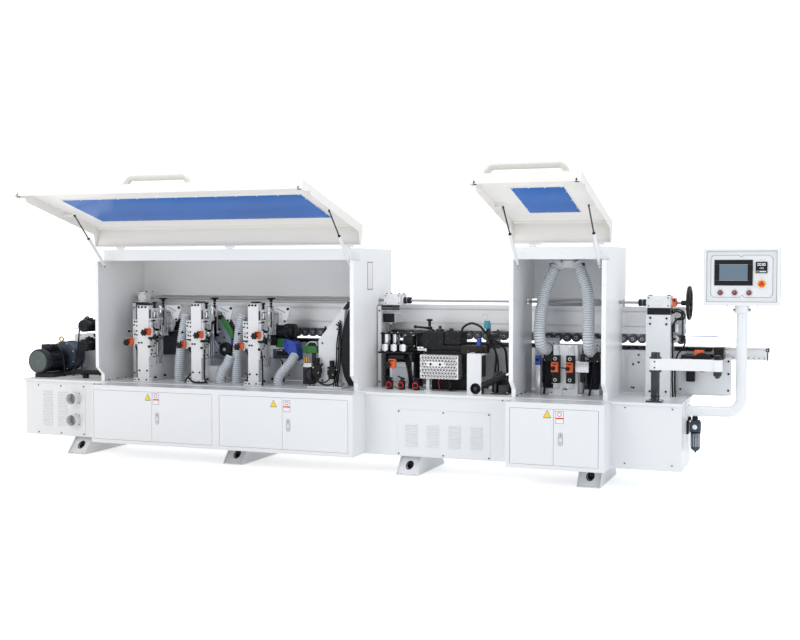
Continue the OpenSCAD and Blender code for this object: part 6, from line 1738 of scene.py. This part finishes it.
# ------------------------------------------------------------------ hoods and struts
for letter, x0, x1 in (("a", -2.690, -0.430), ("b", 0.755, 1.437)):
    foot_bolts = piece("hood_%s_bolts" % letter, "dsteel")
    for y in (0.080, 0.2, 0.320):
        for x in (x0 + 0.019, x1 - 0.019):
            bolt(foot_bolts, (x, y, 0.604), UP, 0.0065)
            torus(foot_bolts, (x, y, 0.6045), UP, 0.0085, 0.0014, 24, 6)
    middle = (x0 + x1) / 2
    rivets = piece("hood_%s_rivets" % letter, "zinc")
    bolts(rivets, FRONT, 0.0035,
          [(x, -0.075, z) for z in (0.80, 1.10, 1.40) for x in (x0 + 0.014, x1 - 0.014)])
    bolts(rivets, FRONT, 0.0045,
          [(x, 0.050, 1.625) for x in (x0 + 0.060, middle, x1 - 0.060)])
    if letter == "a":
        # fluorescent lamp under the roof sheet
        half = 0.55
        block(piece("hood_a_lamp", "greylight"),
              middle - half, middle + half, 0.150, 0.210, 1.632, 1.6635, 0.004)
        block(piece("hood_a_lamp", "paper"),
              middle - half + 0.02, middle + half - 0.02, 0.156, 0.204, 1.620, 1.634, 0.006, 3)
# strut cylinders: painted tube with its end collars
STRUT_TILT = rad(135.1436)
STRUT = Vector((0.0, math.cos(STRUT_TILT), math.sin(STRUT_TILT)))
for letter, places in (("a", (-2.640, -0.480)), ("b", (0.8, 1.380))):
    body = "strut_cylinder_" + letter
    for x in places:
        foot = Vector((x, 0.0, 1.527))
        tube(piece("strut_tube_" + letter, "white", body), foot + STRUT * 0.022, STRUT,
             0.292, 0.0125, 0.0092, 0.001, 30)
        collar = piece("strut_collar_" + letter, "dsteel", body)
        tube(collar, foot + STRUT * 0.312, STRUT, 0.008, 0.0115, 0.0056, 0.001, 28)
        cyl(collar, foot + STRUT * 0.008, STRUT, 0.016, 0.007, 0.001, 20)

# ------------------------------------------------------------------ base
screws = piece("base_screws", "dsteel")
bolts(screws, FRONT, 0.0055, [(x, -0.003, z) for x, z in (
    (-0.1, 0.466), (0.590, 0.466), (-0.1, 0.154), (0.590, 0.154), (0.245, 0.466),
    (0.245, 0.154), (-3.308, 0.548), (-2.862, 0.548), (-3.308, 0.157), (-2.862, 0.157),
    (-3.085, 0.548), (-3.085, 0.157))])
bolts(screws, FRONT, 0.005, [(x, 0.0, z) for x, z in (
    (1.560, 0.560), (1.880, 0.560), (1.560, 0.175), (1.880, 0.175), (-2.76, 0.575),
    (0.690, 0.575))])
OUTLET_X = -2.945
for z in (0.451, 0.273):
    torus(piece("outlet_trim", "white"), (OUTLET_X, -0.0625, z), FRONT, 0.048, 0.003, 44, 8)
    tube(piece("outlet_trim", "shadow"), (OUTLET_X, -0.004, z), FRONT,
         0.0020, 0.0458, 0.0400, 0.0004, 40)
    cyl(piece("outlet_trim", "hub"), (OUTLET_X, -0.0055, z), FRONT, 0.001, 0.0455, 0.0003, 40)
    bolts(screws, FRONT, 0.0035,
          [(OUTLET_X + 0.056 * math.cos(a), -0.003, z + 0.056 * math.sin(a))
           for a in turn(4, 0.5)])
for x in (-2.897, -1.452, -0.018, 1.322):
    for dx in (-0.050, 0.050):
        for y in (-0.059, 0.559):
            hex_head(piece("stand_bolts", "zinc"), (x + dx, y, 0.008), UP, 0.008, 0.008)
    # painted shade: dark discs and a dark ring fill the stand holes so they look black
    hole_shade = piece("stand_hole_shade", "blk")
    for y, direction in ((0.036, BACK), (0.464, FRONT)):
        lathe(hole_shade, (x, y, 0.068), direction,
              [(0, 0), (0.002, 0.014), (0.002, 0.0220), (0.004, 0.0232), (0.012, 0.0232),
               (0.012, 0)], 32)
    torus(hole_shade, (x, 0.0085, 0.068), (0, -0.719, 0.695), 0.0265, 0.003, 36, 8, 1.35)
bolts(piece("pipe_flange", "zinc"), RIGHT, 0.0055,
      [(1.952, 0.240 + 0.050 * math.cos(a), 0.530 + 0.050 * math.sin(a))
       for a in turn(4, 0.5)])
torus(piece("pipe_welds", "white"), (1.953, 0.240, 0.530), RIGHT, 0.0375, 0.003, 40, 8)


def stadium(x, low, high, radius):
    """Upright slot outline with round ends centred at low and high."""
    return arc(x, high, radius, 0, 180) + arc(x, low, radius, 180, 360)


# plain notices without lettering: a triangle on odd doors, a plate on even ones
TRIANGLE = [(-0.030, -0.024), (-0.026, -0.028), (0.026, -0.028), (0.030, -0.024),
            (0.003, 0.028), (-0.003, 0.028)]
NOTICES = [(1, -2.099, 0.515), (2, -2.026, 0.504), (3, -1.009, 0.509), (4, -0.9, 0.495),
           (5, 1.071, 0.520), (6, 1.157, 0.501)]    # door, x, z
for door, x, z in NOTICES:
    body = "door_%d" % door
    name = "notice_" + body
    if door % 2:
        slab(piece(name, "yellow", body),
             [(x + 0.76 * dx, z + 0.80 * dz) for dx, dz in TRIANGLE], -0.2412, -0.24, 0.0003)
        slab(piece(name, "seal", body),
             [(x + 0.90 * dx, z + 0.93 * dz) for dx, dz in TRIANGLE], -0.2406, -0.2399, 0.0002)
    else:
        block(piece(name, "paper", body),
              x - 0.026, x + 0.026, -0.2412, -0.24, z - 0.040, z + 0.040, 0.0003)
        block(piece(name, "inline", body),
              x - 0.0285, x + 0.0285, -0.2407, -0.24, z - 0.0425, z + 0.0425, 0.0003)
        red = piece(name, "red", body)
        block(red, x - 0.026, x + 0.026, -0.2413, -0.24, z - 0.011, z - 0.001, 0.0003)
        lathe(red, (x, -0.2411, z + 0.021), FRONT,
              [(0, 0.0105), (0, 0.0150), (0.0004, 0.0148), (0.0004, 0.0107), (0, 0.0105)], 30)
# lock plates with a dark edge
for door, x in ((2, -2.01575), (4, -0.88875), (6, 1.16425)):
    body = "door_%d" % door
    edge = piece("lock_edge_" + body, "dsteel", body)
    slab(edge, stadium(x, 0.322, 0.382, 0.0163), -0.2413, -0.24, 0.0003)
    slab(piece("lock_plate_" + body, "greylight", body), stadium(x, 0.322, 0.382, 0.0140),
         -0.2430, -0.2412, 0.0005)
    lathe(piece("lock_ring_" + body, "zinc", body), (x, -0.2428, 0.348), FRONT,
          [(0, 0.0073), (0, 0.0105), (0.0010, 0.010), (0.0012, 0.0085), (0.0012, 0.0073),
           (0, 0.0073)], 30)
    box(edge, (x, -0.2432, 0.378), (0.006, 0.001, 0.010), 0.0003)

# plain plate with a dark border on the +x side of the first hood
block(piece("hood_a_plate", "inline"), -0.4305, -0.4292, 0.196, 0.304, 1.354, 1.566, 0.0004)
block(piece("hood_a_plate", "paper"), -0.43, -0.4286, 0.202, 0.298, 1.360, 1.560, 0.0004)

# lower lip of the hood backs, behind the beam
for name, x0, x1 in (("hood_a_lip", -2.687, -0.433), ("hood_b_lip", 0.758, 1.434)):
    block(piece(name, "hood"), x0, x1, 0.7055, 0.7085, 1.165, 1.3, 0.0006)

# ------------------------------------------------------------------ finish the CAD nodes
FINISHES = [  # material, edge radius, CAD nodes
    ("white", 0.0022, "base_frame unit_columns"),
    ("white", 0.003, "table_top"),
    ("white", 0.0025, "cross_stands control_box"),
    ("white", 0.0008, "vent_covers control_arm"),
    ("white", 0.0012, "dust_outlets cabinet_door_1 cabinet_door_2 cabinet_door_3 "
                      "cabinet_door_4 cabinet_door_5 cabinet_door_6"),
    ("white", 0.002, "lift_columns extraction_duct"),
    ("hood", 0.0012, "hood_a hood_b"),
    ("lidpaint", 0.0013, "lid_a lid_b"),
    ("window", 0.0008, "lid_a_window lid_b_window"),
    ("alu", 0.0015, "conveyor_beam"),
    ("alu", 0.001, "conveyor_rail pressure_beam"),
    ("cast_white", 0.003, "lift_gearboxes"),
    ("cast_white", 0.004, "swing_arm"),
    ("post_black", 0.0015, "arm_post"),
    ("dsteel", 0.0015, "arm_spindle"),
    ("dsteel", 0.0008, "strut_rods_a strut_rods_b machine_bolts"),
    ("shaft", 0.001, "lift_shaft"),
    ("zinc", 0.0, "glue_guard"),
    ("zinc", 0.0008, "strut_cylinders_a strut_cylinders_b door_latch_1 door_latch_2 "
                     "door_latch_3"),
    ("red", 0.003, "emergency_stop"),
    ("dred", 0.0015, "push_button_1 push_button_2 push_button_3"),
    ("castblk", 0.002, "press_bracket glue_pot infeed_guide end_trim_saw"),
    ("chrome", 0.0008, "press_roller"),
    ("steel", 0.0008, "glue_roller"),
    ("motor_blue", 0.003, "electric_motors"),
    ("plate", 0.002, "scraper_head fine_trim_head rough_trim_head"),
    ("blk", 0.0008, "air_units power_cables handwheel"),
    ("orange", 0.0008, "position_counters"),
    ("hose", 0.0008, "extraction_hoses"),
    ("rubber", 0.0008, "chain_pads"),
    ("tyre", 0.0008, "pressure_rollers"),
]
CAD_FINISH = {node: (name, bevel) for name, bevel, nodes in FINISHES for node in nodes.split()}
for node, cad_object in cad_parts.items():
    if node in CAD_FINISH:
        name, bevel = CAD_FINISH[node]
        cad_object.data.materials.clear()
        cad_object.data.materials.append(MATERIALS[name])
        weld = cad_object.modifiers.new("weld", "WELD")
        weld.merge_threshold = 0.00002
        if bevel:
            edges = cad_object.modifiers.new("edges", "BEVEL")
            edges.width = bevel
            edges.segments = 2
            edges.limit_method = "ANGLE"
            edges.angle_limit = rad(38)

# ------------------------------------------------------------------ make the pieces
REPLACES = {  # piece: the CAD node it stands in for
    "scraper_arm_cast_white": "scraper_head",
    "fine_trimmer_arm_cast_white": "fine_trim_head",
    "rough_trimmer_arm_cast_white": "rough_trim_head",
    "end_trim_slide_blk": "end_trim_saw",
    "hose_1_hose": "extraction_hoses",
    "mill_motor_930_motor_grey": "electric_motors",
    "press_roller_skin_chrome": "press_roller",
    "press_plates_castblk": "press_bracket",
    "glue_roller_skin_steel": "glue_roller",
    "glue_pot_body_castblk": "glue_pot",
    "chain_pad_faces_rubber": "chain_pads",
    "press_wheel_tyres_tyre": "pressure_rollers",
    "conveyor_bolts_dsteel": "machine_bolts",
    "infeed_blocks_blk": "infeed_guide",
    "handwheel_rim_blk": "handwheel",
    "height_counter_orange": "position_counters",
    "left_cables_blk": "power_cables",
    "table_regulators_blk": "air_units",
    "stop_head_red": "emergency_stop",
    "button_head_1_dred": "push_button_1",
    "button_head_2_dred": "push_button_2",
    "button_head_3_dred": "push_button_3",
}


def link_mesh(name, verts, faces):
    mesh = bpy.data.meshes.new(name)
    mesh.from_pydata(verts, [], faces)
    made = bpy.data.objects.new(name, mesh)
    bpy.context.scene.collection.objects.link(made)
    return made


for part in PIECES.values():
    made = link_mesh(part.name, part.verts, part.faces)
    made.data.validate()
    made.data.materials.append(MATERIALS[part.material])
    made.data.polygons.foreach_set("use_smooth", [True] * len(made.data.polygons))
    made.data.set_sharp_from_angle(angle=rad(32))
    made.data.update()
    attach(made, part.body)
    if part.name in REPLACES:
        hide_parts(REPLACES[part.name])

# ------------------------------------------------------------------ floor
floor = link_mesh("floor", [(-60, -40, 0), (60, -40, 0), (60, 60, 0), (-60, 60, 0)],
                  [(0, 1, 2, 3)])
material("floor", None, (0.93, 0.93, 0.935), rough=0.6, tone=0.004, tone_scale=0.5,
         bump=0.02, bump_scale=60, bump_depth=0.0005, spec=0.25)
floor.data.materials.append(MATERIALS["floor"])
# painted light: the floor glows, which lifts the shadow the machine casts; the glow is weaker near
# the machine and grows away from it into the white backdrop
tree = MATERIALS["floor"].node_tree
link = tree.links.new
surface = next(n for n in tree.nodes if n.type == "BSDF_PRINCIPLED")
coords = add_node(tree, "ShaderNodeTexCoord", -900, -700)
oval = add_node(tree, "ShaderNodeMapping", -700, -700)
oval.inputs["Scale"].default_value = (0.16, 0.30, 1)
oval.inputs["Location"].default_value = (0.10, -0.05, 0)
distance = add_node(tree, "ShaderNodeVectorMath", -500, -700, operation="LENGTH")
glow = map_range(tree, distance.outputs["Value"], -300, -700,
                 from_min=0.35, from_max=1.5, to_min=0.46, to_max=0.95)
link(coords.outputs["Object"], oval.inputs[0])
link(oval.outputs[0], distance.inputs[0])
surface.inputs["Emission Color"].default_value = (1, 1, 1, 1)
# painted glow: seen directly the floor glows brighter than the light it throws back
path = add_node(tree, "ShaderNodeLightPath", -300, -950)
seen = map_range(tree, path.outputs["Is Camera Ray"], -100, -950, to_min=0.42, to_max=1.0)
strength = add_node(tree, "ShaderNodeMath", 100, -800, operation="MULTIPLY")
link(glow, strength.inputs[0])
link(seen, strength.inputs[1])
link(strength.outputs[0], surface.inputs["Emission Strength"])
floor.location.z = -0.0005

# ------------------------------------------------------------------ world, lights, camera
scene = bpy.context.scene
world = bpy.data.worlds.new("studio")
scene.world = world
world.use_nodes = True
tree = world.node_tree
tree.nodes.clear()
output = add_node(tree, "ShaderNodeOutputWorld", 400, 0)
path = add_node(tree, "ShaderNodeLightPath", -200, 300)


def background(y, color, strength):
    node = add_node(tree, "ShaderNodeBackground", 0, y)
    node.inputs[0].default_value = color
    node.inputs[1].default_value = strength
    return node


ambient = background(0, color=(0.93, 0.96, 1.0, 1), strength=0.71)
backdrop = background(-150, color=(1, 1, 1, 1), strength=1.15)
mix = add_node(tree, "ShaderNodeMixShader", 200, 0)
tree.links.new(path.outputs["Is Camera Ray"], mix.inputs[0])
tree.links.new(ambient.outputs[0], mix.inputs[1])
tree.links.new(backdrop.outputs[0], mix.inputs[2])
tree.links.new(mix.outputs[0], output.inputs[0])


def area_light(name, at, target, width, height, power, color=(1, 1, 1)):
    light = bpy.data.lights.new(name, "AREA")
    light.shape = "RECTANGLE"
    light.size = width
    light.size_y = height
    light.energy = power
    light.color = color
    lamp = bpy.data.objects.new(name, light)
    lamp.location = at
    aim = Vector(target) - Vector(at)
    lamp.rotation_euler = aim.to_track_quat("-Z", "Y").to_euler()
    scene.collection.objects.link(lamp)


area_light("key", at=(-4.0, -7.5, 5.0), target=(-0.9, 0, 0.9), width=5.0, height=3.0,
           power=164, color=(1.0, 0.985, 0.96))
area_light("fill", at=(8.0, -3.2, 2.8), target=(-0.2, 0.2, 1.0), width=4.5, height=3.0,
           power=108, color=(0.95, 0.97, 1.0))
area_light("top", at=(-0.5, -0.5, 6.5), target=(-0.5, 0.3, 0.8), width=7.0, height=2.5,
           power=210)
area_light("back", at=(-1.0, 6.0, 3.5), target=(-0.5, 0.5, 1.0), width=6.0, height=2.5,
           power=50)

lens = bpy.data.cameras.new("camera")
camera = bpy.data.objects.new("camera", lens)
scene.collection.objects.link(camera)
camera.location = (2.926, -8.025, 1.501)
camera.rotation_euler = (rad(87.57), 0.0, rad(20.61))
lens.lens = 52.57
lens.sensor_width = 36.0
lens.clip_end = 200
scene.camera = camera
scene.view_settings.view_transform = "Standard"
scene.view_settings.look = "None"
